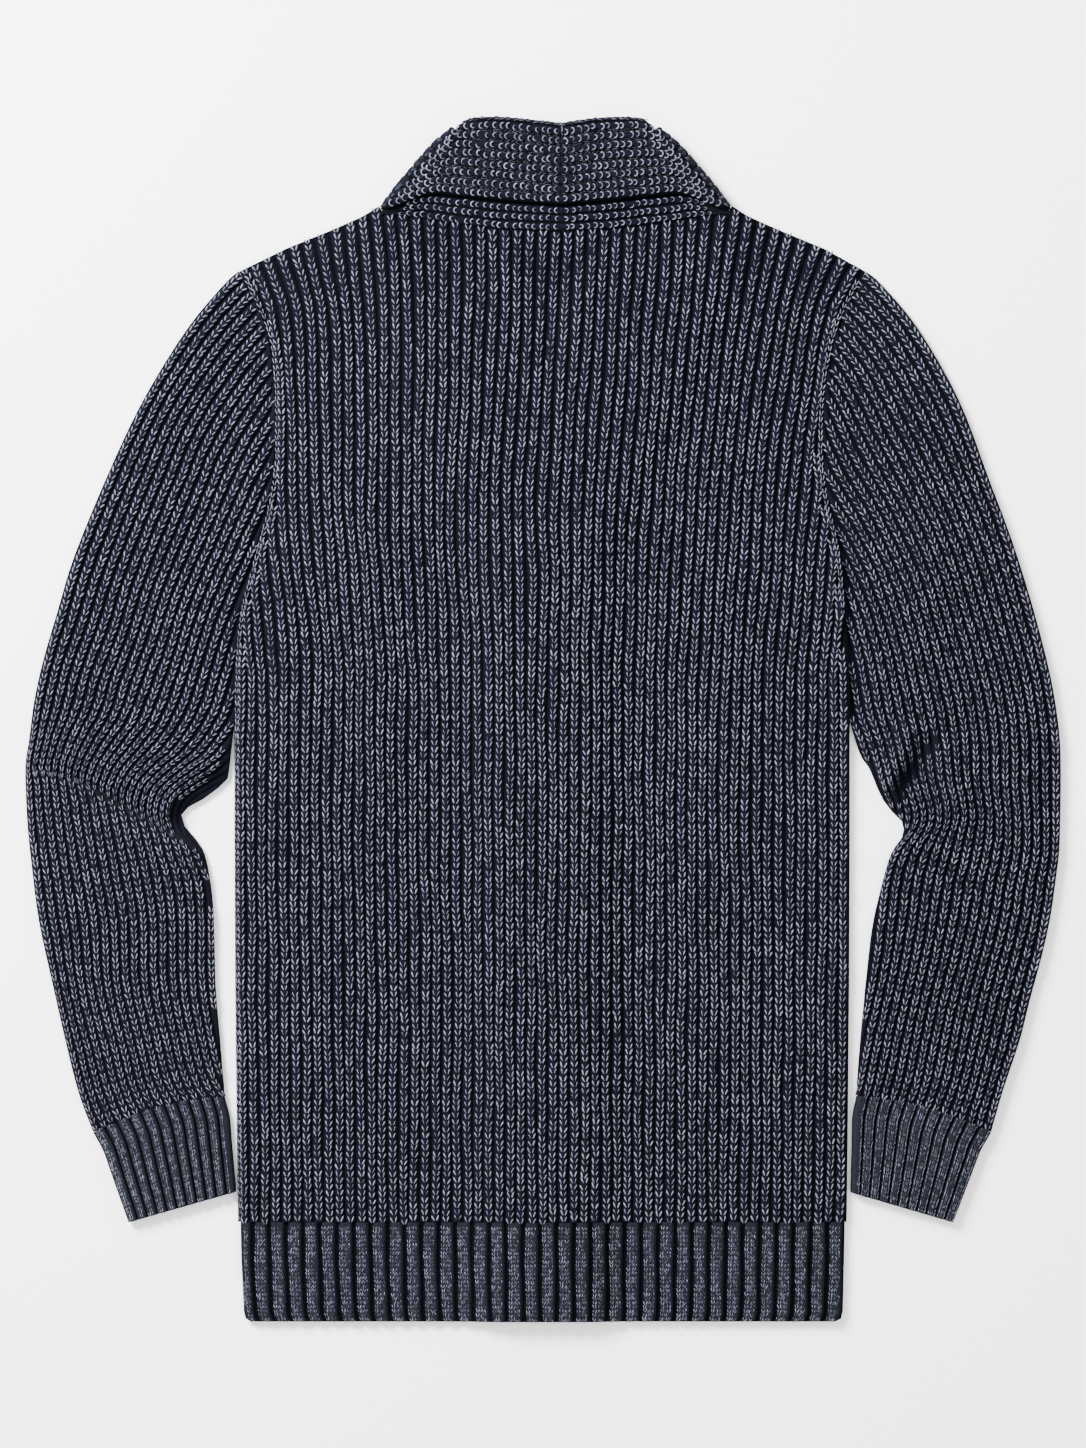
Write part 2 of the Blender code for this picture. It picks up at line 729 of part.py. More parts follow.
def make_front(side, material):
    edge = body_edge(side)
    seam = front_seam(side, GAP)
    outline = (edge + shoulder(side) + seam
               + [(BODY_MID + side * out, HEM_TOP) for out in FRONT_RIDGE])
    free = [p for p in edge if p[1] <= UNDERARM_Y]

    def bottom(x, y):
        return front_height(side, x, y) + CLOTH - rounded_wall(line_distance(x, y, free))

    def wall(x, y):
        return rounded_wall(line_distance(x, y, free))

    creases = [[(*across(side, out, y), 0.0) for y in (HEM_TOP + SEAM_CLEAR, 60.0, V_END[1])]
               for out in FRONT_RIDGE]
    step_x, step_y = FRONT_GRID
    grid = [across(side, out, y) for y in (128.0, 146.0) for out in FRONT_RIDGE]
    grid += [across(side, step_x * i, FRONT_GRID_LOW + step_y * j)
             for i in range(3, 15) for j in range(14)]
    for amount in (0.3 * ROUND, ROUND):
        grid += shifted(free, side * amount)[1:]
    grid = [p for p in grid if is_inside(*p, outline)
            and line_distance(*p, outline + outline[:1]) > 0.9]
    return make_panel(f"front_{SIDE_NAME[side]}", material, outline, bottom, wall,
                      creases=creases, points=grid)


def hem_edge(side):
    """Side edge of the hem rib, which draws in a little."""
    top, low = (-205.7, -203.5) if side < 0 else (205.2, 203.9)
    return [(top, HEM_TOP - GAP), (top - side * 0.4, -365.0), (low, HEM_BOTTOM + 7.0),
            (low - side * 1.2, HEM_BOTTOM + 2.0), (low - side * 5.0, HEM_BOTTOM)]


def make_hem_back(material):
    left, right = hem_edge(-1), hem_edge(1)
    ridge = [BODY_MID + sign * out for sign, outs in ((1, BACK_RIDGE[::-1]), (-1, BACK_RIDGE))
             for out in outs]
    low = [(x, HEM_BOTTOM) for x in [-130.0] + ridge[::-1] + [130.0]]
    top = [(x, HEM_TOP - GAP) for x in ridge]
    outline = left + low + right[::-1] + top
    free = left + low + right[::-1]

    def wall(x, y):
        return rounded_wall(line_distance(x, y, free))

    ribs = []
    width = right[0][0] - left[0][0]
    for place, rise in rib_rises(HEM_RIBS, True):
        at = (place + 0.14) / HEM_RIBS
        line = [(left[0][0] + width * at, HEM_TOP - GAP - 1.2, rise),
                (left[0][0] + 1.0 + (width - 2.0) * at, -375.0, rise),
                (left[0][0] + 1.6 + (width - 3.2) * at, HEM_BOTTOM + 1.2, rise)]
        ribs += kept_stretches(line, outline, HEM_CLEAR)
    creases = [[(x, HEM_TOP - GAP - 1.0, 0.0), (x, HEM_BOTTOM + 1.0, 0.0)] for x in ridge]
    return make_panel("hem_back", material, outline, back_height, wall, ribs, creases)


def make_hem_front(side, material):
    edge = hem_edge(side)
    inner_x = BODY_MID + side * (0.5 * BAND + GAP)
    steps = [BODY_MID + side * out for out in FRONT_RIDGE[::-1]]
    outline = (edge + [(x, HEM_BOTTOM) for x in steps] + [(inner_x, HEM_BOTTOM)]
               + [(inner_x, HEM_TOP - GAP)] + [(x, HEM_TOP - GAP) for x in steps[::-1]])
    creases = [[(x, HEM_TOP - GAP - 1.0, 0.0), (x, HEM_BOTTOM + 1.0, 0.0)] for x in steps]
    return make_panel(f"hem_front_{SIDE_NAME[side]}", material, outline,
                      lambda x, y: front_height(side, x, y), lambda x, y: CLOTH, creases=creases)


def make_band(side, material):
    """One band: from the end of the collar down to the hem, plain, with level ends."""
    heights = (COLLAR_END - SEAM_CLEAR, 156.0) + BAND_TURN_YS + (V_END[1],) + BAND_YS + (HEM_BOTTOM,)
    widths = ((V_END[1], BAND), (COLLAR_END, BAND_TOP))
    _seam_out, _seam_y, roll_out, roll_y, _fall = COLLAR_FRONT[-1]
    seam = [across(side, seam_out(y), y) for y in (COLLAR_END - GAP,) + heights]
    free = [across(side, roll_out - GAP, roll_y - GAP)]
    free += [across(side, seam_out(y) - read_table(widths, y), y) for y in heights]
    outline = seam + free[::-1]
    grid = [tuple((p + q) / 2.0 for p, q in zip(a, b)) for a, b in zip(seam[1:-1], free[1:-1])]
    return make_panel(f"band_{SIDE_NAME[side]}", material, outline,
                      lambda x, y: band_height(side, x, y), lambda x, y: CLOTH, points=grid)


def collar_profile(stand, fall, rise):
    """Section of the folded collar: (along, up) from the seam to the roll and back.

    The stand lies at the bottom of the section and the fall on top of it.
    """
    low, high = 0.5 * GAP, 0.5 * GAP + 2.0 * LAYER - GAP
    centre_up = 0.5 * (low + high)
    radius = 0.5 * (high - low)
    free = stand - fall
    profile = []
    for i in range(2 * COLLAR_ROWS + 1):
        along = free + (fall - radius) * i / (2 * COLLAR_ROWS)
        profile.append((along, high + (RIB * rise if i % 2 else 0.0)))
    for angle in (65.0, 30.0, 0.0, -30.0, -65.0):
        turn = math.radians(angle)
        profile.append((stand - radius + radius * math.cos(turn),
                        centre_up + radius * math.sin(turn)))
    profile += [(stand - radius, low), (0.5 * stand, low), (0.0, low)]
    shown = max(free - 1.5, 0.5)
    stand_rise = rise * min(shown / 14.0, 1.0)
    for i in range(2 * STAND_ROWS + 1):
        profile.append((shown * i / (2 * STAND_ROWS),
                        low + CLOTH + (RIB * stand_rise if i % 2 else 0.0)))
    profile += [(stand - radius - 1.0, low + CLOTH), (stand - radius + 0.2, centre_up),
                (stand - radius - 1.0, high - CLOTH), (free, high - CLOTH)]
    return profile


def make_collar(side, material):
    loops = []
    for seam, roll, fall, turn in collar_stations(side):
        along = (roll - seam).normalized()
        outward = Vector((along.y, -along.x)) * (1.0 if side > 0 else -1.0)
        angle = math.radians(turn)
        rise = max(math.cos(0.5 * angle) ** 2 * 1.4 - 0.4, 0.0)
        loop = []
        for forward, up in collar_profile((roll - seam).length, fall, rise):
            flat = seam + along * forward + outward * (up * math.sin(angle))
            loop.append((flat.x, flat.y, NECK_LEVEL + up * math.cos(angle)))
        loops.append(loop)
    solid = Solid(f"collar_{SIDE_NAME[side]}", material)
    solid.loft(loops)
    return solid.finish()


def sleeve_outline(side):
    """Fold on the outside, fold on the inside, armhole end and cuff end of a sleeve."""
    rows = smooth_curve(SLEEVE_LEFT if side < 0 else SLEEVE_RIGHT, 1)
    forearm = smooth_curve(FOREARM_LEFT if side < 0 else FOREARM_RIGHT, 1)
    opening = shifted(armhole(side), side * GAP)
    outer_fold = [opening[0]] + [row[:2] for row in rows[1:]]
    beside_body = [p for p in body_edge(side)[::-1]
                   if SLEEVE_LEAVES_Y[side] < p[1] < UNDERARM_Y - 6.0]
    inner_fold = [opening[-1]] + shifted(beside_body, side * BODY_CLEAR) + forearm
    a, b = outer_fold[-1], inner_fold[-1]
    cuff_end = [(a[0] + t * (b[0] - a[0]),
                 a[1] + t * (b[1] - a[1]) + CUFF_BOW * math.sin(math.pi * t))
                for t in (0.0, 0.25, 0.5, 0.75, 1.0)]
    return outer_fold, inner_fold, opening, cuff_end


def make_sleeve(side, material):
    outer_fold, inner_fold, opening, cuff_end = sleeve_outline(side)
    outline = outer_fold + cuff_end[1:-1] + inner_fold[::-1] + opening[1:-1][::-1]
    field = smooth_curve(SLEEVE_LEFT if side < 0 else SLEEVE_RIGHT, 1)
    lines = []
    for place, rise in rib_rises(SLEEVE_RIBS, False):
        at = place / SLEEVE_RIBS
        line = [(ox + at * (ix - ox), oy + at * (iy - oy), rise) for ox, oy, ix, iy in field]
        lines += kept_stretches(line, outline, SEAM_CLEAR)
    points = [(ox + at * (ix - ox), oy + at * (iy - oy))
              for ox, oy, ix, iy in field for at in (0.15, 0.32, 0.5, 0.68, 0.85)]
    return make_tube(f"sleeve_{SIDE_NAME[side]}", material, outer_fold, inner_fold, opening,
                     cuff_end, SLEEVE_FOLDS[side], lines, points)


def make_cuff(side, material):
    _outer, _inner, _opening, sleeve_end = sleeve_outline(side)
    outer_low, inner_low = CUFF_LEFT if side < 0 else CUFF_RIGHT
    top_end = [(x, y - GAP) for x, y in sleeve_end]
    low_end = [(outer_low[0] + t * (inner_low[0] - outer_low[0]),
                outer_low[1] + t * (inner_low[1] - outer_low[1])) for t in (0.0, 0.33, 0.67, 1.0)]

    def fold(top, low):
        turns = ((0.0, 0.0), (0.2, 1.0), (0.55, 0.5), (1.0, 0.0))    # along, share of the draw-in
        return [(top[0] + t * (low[0] - top[0]) - side * CUFF_DRAW_IN * share,
                 top[1] + t * (low[1] - top[1])) for t, share in turns]

    outer_fold, inner_fold = fold(top_end[0], low_end[0]), fold(top_end[-1], low_end[-1])
    outline = outer_fold + low_end[1:-1] + inner_fold[::-1] + top_end[1:-1][::-1]
    lines = []
    for place, rise in rib_rises(CUFF_RIBS, True):
        at = (place + 0.14) / CUFF_RIBS
        line = []
        for (ax, ay), (bx, by) in zip(outer_fold, inner_fold):
            bow = CUFF_BOW * math.sin(math.pi * at) * (1.0 - len(line) / 3.0)
            line.append((ax + at * (bx - ax), ay + at * (by - ay) + bow, rise))
        lines += kept_stretches(line, outline, HEM_CLEAR)
    return make_tube(f"cuff_{SIDE_NAME[side]}", material, outer_fold, inner_fold, top_end,
                     low_end, (), lines, [])


def make_button(number, y, material):
    """A turned button that lies face down on the floor, without its thread holes."""
    profile = (
        # radius, z: from the dished face over the rim to the plain back
        (7.0, 0.35),
        (8.2, 0.0),
        (10.2, 0.0),
        (BUTTON_RADIUS, 0.8),
        (10.6, 1.6),
        (8.0, BUTTON_THICK),
    )
    loops = []
    for radius, z in profile:
        turns = [2.0 * math.pi * i / BUTTON_SIDES for i in range(BUTTON_SIDES)]
        loops.append([(BODY_MID + radius * math.cos(t), y + radius * math.sin(t), z)
                      for t in turns])
    solid = Solid(f"button_{number}", material)
    solid.loft(loops)
    return solid.finish()


for old in list(bpy.data.objects):
    bpy.data.objects.remove(old, do_unlink=True)

knit = make_material("body_knit", KNIT_COLOUR, 0.9)
rib_knit = make_material("rib_knit", RIB_COLOUR, 0.9)
horn = make_material("button_horn", BUTTON_COLOUR, 0.4)

make_back(knit)
make_hem_back(rib_knit)
for hand in (-1, 1):
    make_front(hand, knit)
    make_hem_front(hand, rib_knit)
    make_band(hand, rib_knit)
    make_collar(hand, rib_knit)
    make_sleeve(hand, knit)
    make_cuff(hand, rib_knit)
for index, button_y in enumerate(BUTTON_YS, 1):
    make_button(index, button_y, horn)
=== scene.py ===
"""Shawl-collar cardigan in heavy navy melange rib, laid flat on its front.

The back faces up, the collar points to +Y, and the fronts, bands and buttons lie
underneath on the table, z = 0. Lengths are in millimetres until a mesh is made.
"""

import math

import bmesh
import bpy
import numpy as np
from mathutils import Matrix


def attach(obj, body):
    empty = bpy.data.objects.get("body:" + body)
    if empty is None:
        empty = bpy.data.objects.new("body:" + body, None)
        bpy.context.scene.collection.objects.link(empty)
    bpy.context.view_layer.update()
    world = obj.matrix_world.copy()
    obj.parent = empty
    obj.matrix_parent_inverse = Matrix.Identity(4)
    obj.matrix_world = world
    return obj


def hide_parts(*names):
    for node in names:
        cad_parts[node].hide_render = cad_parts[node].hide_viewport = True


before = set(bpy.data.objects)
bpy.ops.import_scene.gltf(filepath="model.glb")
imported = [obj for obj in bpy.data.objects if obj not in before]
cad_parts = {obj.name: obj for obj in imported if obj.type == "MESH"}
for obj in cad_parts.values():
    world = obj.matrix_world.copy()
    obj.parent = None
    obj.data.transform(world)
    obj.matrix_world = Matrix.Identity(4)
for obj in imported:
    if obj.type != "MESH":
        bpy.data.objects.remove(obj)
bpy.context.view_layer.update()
MM = 0.001

# ---------------------------------------------------------------- table, light and camera
# The cardigan lies on a pale matt studio table, seen from straight above. One large soft
# light stands to its upper left and a weak one opposite fills the shade.
VIEW_HIGH = 0.9846         # length of table that the camera takes in
LENS = 150.0
SENSOR = 36.0
CLOTH_LEVEL = 0.004        # height above the table at which it does
VIEW_MID = -0.00306        # y that it looks at
TABLE_SIZE = 12.0
TABLE_COLOUR = (0.93, 0.93, 0.93, 1.0)
STUDIO_COLOUR = (1.0, 1.0, 1.0, 1.0)
STUDIO_LIGHT = 1.9         # strength of the light from all round


def add_object(name, data):
    """A mesh, light or camera, set in the scene."""
    thing = bpy.data.objects.new(name, data)
    bpy.context.collection.objects.link(thing)
    return thing


def new_material(name, values):
    """A material with these values at the inputs of its shader."""
    look = bpy.data.materials.new(name)
    look.use_nodes = True
    for label, value in values.items():
        look.node_tree.nodes["Principled BSDF"].inputs[label].default_value = value
    return look


def soft_light(name, place, size, power):
    """A square softbox that faces the middle of the table."""
    data = bpy.data.lights.new(name, "AREA")
    data.shape = "SQUARE"
    data.size = size
    data.energy = power
    light = add_object(name, data)
    light.location = place
    toward = -np.array(place) / np.linalg.norm(place)
    light.rotation_euler = (math.acos(-toward[2]), 0.0, math.atan2(-toward[0], toward[1]))


camera = add_object("camera", bpy.data.cameras.new("camera"))
camera.data.lens = LENS
camera.data.sensor_width = SENSOR
camera.location = (0.0, VIEW_MID, LENS / SENSOR * VIEW_HIGH + CLOTH_LEVEL)
bpy.context.scene.camera = camera
soft_light("key_light", place=(-1.6, 1.52, 1.4), size=0.95, power=480.0)
soft_light("fill_light", place=(1.8, -2.2, 2.6), size=2.4, power=56.0)
sky = bpy.data.worlds.new("studio")
sky.use_nodes = True
sky.node_tree.nodes["Background"].inputs["Color"].default_value = STUDIO_COLOUR
sky.node_tree.nodes["Background"].inputs["Strength"].default_value = STUDIO_LIGHT
bpy.context.scene.world = sky

half = 0.5 * TABLE_SIZE
table_mesh = bpy.data.meshes.new("table")
table_mesh.from_pydata([(-half, -half, 0.0), (half, -half, 0.0), (half, half, 0.0),
                        (-half, half, 0.0)], [], [(0, 1, 2, 3)])
table_mesh.materials.append(new_material("matt_table", {
    "Base Color": TABLE_COLOUR, "Roughness": 0.95, "Specular IOR Level": 0.1}))
add_object("table", table_mesh)

# ---------------------------------------------------------------- shawl collar
# Two halves of rib knitted lengthways, joined at the centre back. Behind the neck each
# half stands up, rolls over and falls back on itself; at the neck's side it turns under
# the garment and lies along the front edge as far as the band.
GAP = 0.3                  # between two pieces or two layers
CLOTH = 2.8                # thickness of the plain wall
LAYER = CLOTH + GAP
BODY_MID = -0.5            # x of the garment's middle line below
NECK_MID = 8.5             # and at the neck
LEAN_FROM = 110.0          # height from which that line leans over,
LEAN_OVER = 235.0          # and the length over which it does
COLLAR_SEAM_X = 12.9       # x of the seam between the two halves
COLLAR_END = 165.0         # height at which the bands go on from the collar
COLLAR_ROWS = 8            # ribs on the fall
STAND_ROWS = 3             # ribs that show on the stand
CREASE_STEPS = 10          # sections over which the fold turns under
ROLL_RADIUS = 2.95         # of the fold's round edge
ROLL_ROW_AT = 50.0         # angle at which a row of stitches lies on it
ROLL_ROW_OUT = 1.1         # how far out they lie, against the radius
ROLL_ANGLES = (70.0, 45.0, 20.0, 0.0, -20.0, -45.0, -70.0)   # points round the fold's edge
COLLAR_STEPS = 6           # sections from one row of the tables to the next
NECK_LEVEL = 2.0 * LAYER - 0.5 * GAP
SIDE_NAME = {-1: "left", 1: "right"}

COLLAR_BACK = (
    # seam out, seam y, roll out, roll y, fall
    (0.0, 331.5, 0.0, 405.3, 55.5),
    (36.0, 333.0, 27.0, 408.6, 56.5),
    (70.0, 337.0, 47.0, 409.4, 56.5),
    (97.0, 341.0, 60.0, 407.6, 58.5),
    (116.5, 343.4, 67.5, 400.5, 70.5),
)
COLLAR_FRONT = (
    # seam out, seam y, roll out, roll y, fall
    (98.0, 300.0, 54.0, 352.0, 60.0),
    (72.6, 240.0, 36.0, 284.0, 42.0),
    (53.5, 195.0, 17.0, 222.0, 16.0),
    (40.8, COLLAR_END, 7.5, 168.0, 3.0),
)

# The rib: one column of V stitches on each rib, with a deep groove between two ribs
RIB_SHAPE = (
    # across the rib, height: 0 in the groove, 1 on the crest
    (0.0, 0.0),
    (0.15, 0.5),
    (0.3, 0.9),
    (0.5, 1.0),
    (0.7, 0.9),
    (0.85, 0.5),
)
CREST = 0.5                # crest of a rib above the plain wall
ROW_PITCH = 4.35           # from one stitch of a column to the next
FINE_PITCH = 2.7           # of the small stitches in the grooves of the collar
LOOP_PITCH = 4.7           # and along the collar
COLLAR_GROOVE = -0.8       # floor of a groove of the collar, which is shallow
TURNED_CREST = -1.6        # crest and groove where the collar lies underneath
TURNED_GROOVE = -2.1
FALL_LEAST = 1.5           # least length of the fall
FREE_ROUND = 3.0           # how far in from its free edge the fall is rounded,
FREE_EDGE = 0.25           # and at which share of that the round begins
STAND_CLEAR = 1.5          # how far short of the fall's free edge the stand's ribs end
STAND_LEAST = 0.5
STAND_FULL = 14.0          # length that shows where those ribs are at full height
CREVICE_SHORT = 1.0        # the gap between fall and stand narrows this far short of the roll
CREVICE_PAST = 0.2         # and ends this far past its middle
# These rises paint the ground's shade: the lower one is, the darker the ground there.
ROLL_RISE = 0.6            # brightness of the ground on the roll, the plain parts, the
PLAIN_RISE = 0.4           # stand's ribs and the hidden parts, against a crest
STAND_RISE = 0.8
HIDDEN_RISE = 0.1
WALL_RISE = 0.35           # and on the plain side of a wall
FULL_RIB = 6.4             # width of a rib of the collar with stitches of full width
WIDEST = 1.15              # the widest stitch there, against that
FINE_DEPTH = 0.5           # how far below the crests the stitches in the grooves lie
FINE_WIDE = 0.75
FALL_NARROWEST = 0.35      # a stitch narrower than this is left out: on the fall,
STAND_NARROWEST = 0.4      # on the stand
FINE_NARROWEST = 0.5       # and in the grooves
SLOPE_TURNS = (36.0, 72.0)   # turns of the fold where a row runs along its slope
SLOPE_FROM = 2.0           # how far from the slope's two ends that row stays
SLOPE_TO = 8.0
SLOPE_POINTS = 30
SLOPE_WIDE = 0.52
ROLL_WIDE_ROW = 0.62       # width of the stitches of the row on the roll
SEAM_SHARE = 0.72          # share of the first step from the back seam that stays plain
SEAM_GAP = 0.04            # half the gap at that seam
END_TUCK = 5.5             # how far the slope's lower end runs on over the shoulder
TUCK_REACH = 14.0
SLOPE_OUT = 1.8            # how far the folded slope bellies outwards
SLOPE_REACH = 20.0
CORNER = 20.0              # length over which the slope tapers into the top corner
CORNER_THIN = 0.5          # how much thinner it is there
MERGE = 0.004              # points closer than this are one
CLOTH_SHARP = 62.0         # angle from which an edge of the cloth looks sharp


def ease(t):
    """0 to 1, level at both ends."""
    t = np.clip(t, 0.0, 1.0)
    return t * t * (3.0 - 2.0 * t)


def smooth_curve(rows, steps):
    """Catmull-Rom curve through the rows, with this many steps from row to row."""
    rows = np.array(rows, float)
    padded = np.vstack((rows[:1], rows, rows[-1:]))
    t = (np.arange(steps) / steps)[:, None]
    parts = []
    for a, b, c, d in zip(padded, padded[1:], padded[2:], padded[3:]):
        parts.append(0.5 * (2 * b + (c - a) * t + (2 * a - 5 * b + 4 * c - d) * t ** 2
                            + (3 * b - a - 3 * c + d) * t ** 3))
    return np.vstack(parts + [rows[-1:]])


def middle(y):
    """The garment's middle line, which leans over towards the neck."""
    return BODY_MID + (NECK_MID - BODY_MID) * ease((y - LEAN_FROM) / LEAN_OVER)


def collar_stations(side, steps, crease_steps):
    """Sections of one collar half: seam point, roll point, fall and turn of the fold.

    The turn goes from 0 on the back, where the fall lies on top, to 180 degrees on
    the front, where it lies underneath.
    """
    offset = side * (COLLAR_SEAM_X - NECK_MID) + SEAM_GAP
    first = COLLAR_BACK[0]
    rows = [(first[0] + offset, first[1], first[2] + offset, first[3], first[4])]
    back = smooth_curve(rows + list(COLLAR_BACK[1:]), steps)
    crease = back[-1]
    front = smooth_curve(np.vstack((crease, COLLAR_FRONT)), steps)[1:]
    turned = np.vstack([crease] * crease_steps)
    table = np.vstack((back, turned, front))
    turning = 180.0 * np.arange(1, crease_steps + 1) / crease_steps
    turn = np.concatenate((np.zeros(len(back)), turning, np.full(len(front), 180.0)))
    seam = np.stack((middle(table[:, 1]) + side * table[:, 0], table[:, 1]), axis=-1)
    roll = np.stack((middle(table[:, 3]) + side * table[:, 2], table[:, 3]), axis=-1)
    return seam, roll, table[:, 4], turn


def rib_relief(across, shape=RIB_SHAPE):
    """Height of the rib at this many ribs across: 0 in a groove and 1 on a crest."""
    return np.interp(across % 1.0, *np.array(shape + ((1.0, 0.0),)).T)


def rib_columns(first, last, shape=RIB_SHAPE):
    """Places across a run of ribs, with every turn of their shape."""
    return np.array([rib + at for rib in range(first, last) for at, _height in shape] + [float(last)])


FIBRE_SCALE = 900.0        # of the specks along the yarn, and how much they count
FIBRE_AMOUNT = 0.9
CLOUD_SCALE = 14.0         # of the clouds over the cloth
CLOUD_AMOUNT = 0.22
FIBRE_HEIGHT = 0.0004


def add_node(tree, kind, inputs=None, **settings):
    """A node of a tree. An input takes a value, an output, or a node for its first output."""
    node = tree.nodes.new(kind)
    for label, value in settings.items():
        setattr(node, label, value)
    for label, value in (inputs or {}).items():
        if isinstance(label, int):
            socket = node.inputs[label]
        else:
            socket = [known for known in node.inputs if known.enabled and known.name == label][0]
        if isinstance(value, bpy.types.Node):
            value = [known for known in value.outputs if known.enabled][0]
        if isinstance(value, bpy.types.NodeSocket):
            tree.links.new(value, socket)
        else:
            socket.default_value = value
    return node


def melange_group():
    """Navy and slate fibres spun together: cloudy over the cloth, speckled along the yarn."""
    group = bpy.data.node_groups.new("melange", "ShaderNodeTree")
    face = group.interface
    for label, kind, value in (
            ("Dark", "NodeSocketColor", (0.0, 0.0, 0.0, 1.0)),
            ("Pale", "NodeSocketColor", (1.0, 1.0, 1.0, 1.0)),
            ("Tone", "NodeSocketFloat", 0.5),
            ("Fibre Scale", "NodeSocketFloat", FIBRE_SCALE),
            ("Cloud Scale", "NodeSocketFloat", CLOUD_SCALE)):
        face.new_socket(label, in_out="INPUT", socket_type=kind).default_value = value
    face.new_socket("Colour", in_out="OUTPUT", socket_type="NodeSocketColor")
    face.new_socket("Fibre", in_out="OUTPUT", socket_type="NodeSocketFloat")
    given = add_node(group, "NodeGroupInput").outputs
    place = add_node(group, "ShaderNodeTexCoord").outputs["Object"]
    fibre = add_node(group, "ShaderNodeTexNoise", {
        "Vector": place, "Scale": given["Fibre Scale"], "Detail": 2.0})
    cloud = add_node(group, "ShaderNodeTexNoise", {
        "Vector": place, "Scale": given["Cloud Scale"], "Detail": 3.0})
    tone = given["Tone"]
    for noise, amount in ((fibre, FIBRE_AMOUNT), (cloud, CLOUD_AMOUNT)):
        centred = add_node(group, "ShaderNodeMath", {0: noise, 1: amount, 2: -0.5 * amount},
                           operation="MULTIPLY_ADD")
        tone = add_node(group, "ShaderNodeMath", {0: tone, 1: centred}, operation="ADD")
    tone.use_clamp = True
    blend = add_node(group, "ShaderNodeMix", {
        "Factor": tone, "A": given["Dark"], "B": given["Pale"]}, data_type="RGBA")
    add_node(group, "NodeGroupOutput", {"Colour": blend, "Fibre": fibre})
    return group


MELANGE = melange_group()


def knit_material(name, dark, pale, weights, base=0.0, bump=0.5):
    """Melange wool. Its tone is a base and a share of each attribute that its mesh carries."""
    look = new_material(name, {"Roughness": 0.92, "Specular IOR Level": 0.02,
                               "Sheen Weight": 0.02, "Sheen Roughness": 0.5})
    tree, tone = look.node_tree, base
    for attribute, weight in weights.items():
        read = add_node(tree, "ShaderNodeAttribute", attribute_name=attribute)
        tone = add_node(tree, "ShaderNodeMath", {0: read.outputs["Fac"], 1: weight, 2: tone},
                        operation="MULTIPLY_ADD")
    melange = add_node(tree, "ShaderNodeGroup", {
        "Dark": (*dark, 1.0), "Pale": (*pale, 1.0), "Tone": tone}, node_tree=MELANGE)
    relief = add_node(tree, "ShaderNodeBump", {
        "Strength": bump, "Distance": FIBRE_HEIGHT, "Height": melange.outputs["Fibre"]})
    shader = tree.nodes["Principled BSDF"]
    tree.links.new(melange.outputs["Colour"], shader.inputs["Base Color"])
    tree.links.new(relief.outputs["Normal"], shader.inputs["Normal"])
    return look


DEEP_NAVY = (0.0024, 0.0027, 0.0048)     # the darkest fibres of the stitches,
SHADE_NAVY = (0.0015, 0.0017, 0.003)      # of the fine ones
GROUND_NAVY = (0.0002, 0.0003, 0.0008)   # and of the ground between them, painted near black as their shade
YARN = knit_material("navy_yarn", DEEP_NAVY, (0.150, 0.152, 0.202), {"shade": 0.45, "tone": 0.35})
# A copy of the yarn painted darker: the shade in the grooves of the collar.
GROOVE_SHADE_YARN = knit_material("navy_yarn_groove_shade", SHADE_NAVY, (0.048, 0.049, 0.069),
                          {"shade": 0.5, "tone": 0.3})
# Another copy painted darker: the shade on the collar's rolled rim and on its folded slope.
EDGE_SHADE_YARN = knit_material("navy_yarn_edge_shade", SHADE_NAVY, (0.060, 0.061, 0.084),
                          {"shade": 0.5, "tone": 0.3})
# The ground is painted shade: far darker than the yarn it is knitted of, and darker still down the
# grooves and where it lies hidden, by its rise.
GROUND = knit_material("navy_ground_painted_shade", GROUND_NAVY, (0.0040, 0.0047, 0.0092), {"rise": 0.55},
                       base=0.02)

STRAND_SIDES = (90.0, 210.0, 330.0)   # a strand is three-sided, with one edge up,
STRAND_WIDE = 1.1                     # and a little wider than it is high
FOOT_TONE = 0.5                       # tone of a strand's two tips, painted darker as shade where they sink into the cloth
HEAD_TONE = 0.4
FOOT_SPREAD = 0.15                    # spread of a V stitch's feet, against its heads'
FOOT_DEPTH = 0.7                      # how deep feet and heads sink in
HEAD_DEPTH = 0.8
LOOP_OPEN = 128.0                     # angle at which the ends of a loop part
LOOP_HIGH = 1.2                       # how it arches out of the cloth
LOOP_ARCH = 0.62
LOOP_DEPTH = 0.9


def new_mesh(name, points, faces, edges=()):
    """A mesh of points given in millimetres."""
    data = bpy.data.meshes.new(name)
    data.from_pydata((np.array(points) * MM).tolist(), edges, faces)
    return data


def store(data, name, values):
    """Keeps a number or a direction for each point of a mesh."""
    values = np.array(values, float)
    kind, field = ("FLOAT", "value") if values.ndim == 1 else ("FLOAT_VECTOR", "vector")
    data.attributes.new(name, kind, "POINT").data.foreach_set(field, values.ravel())


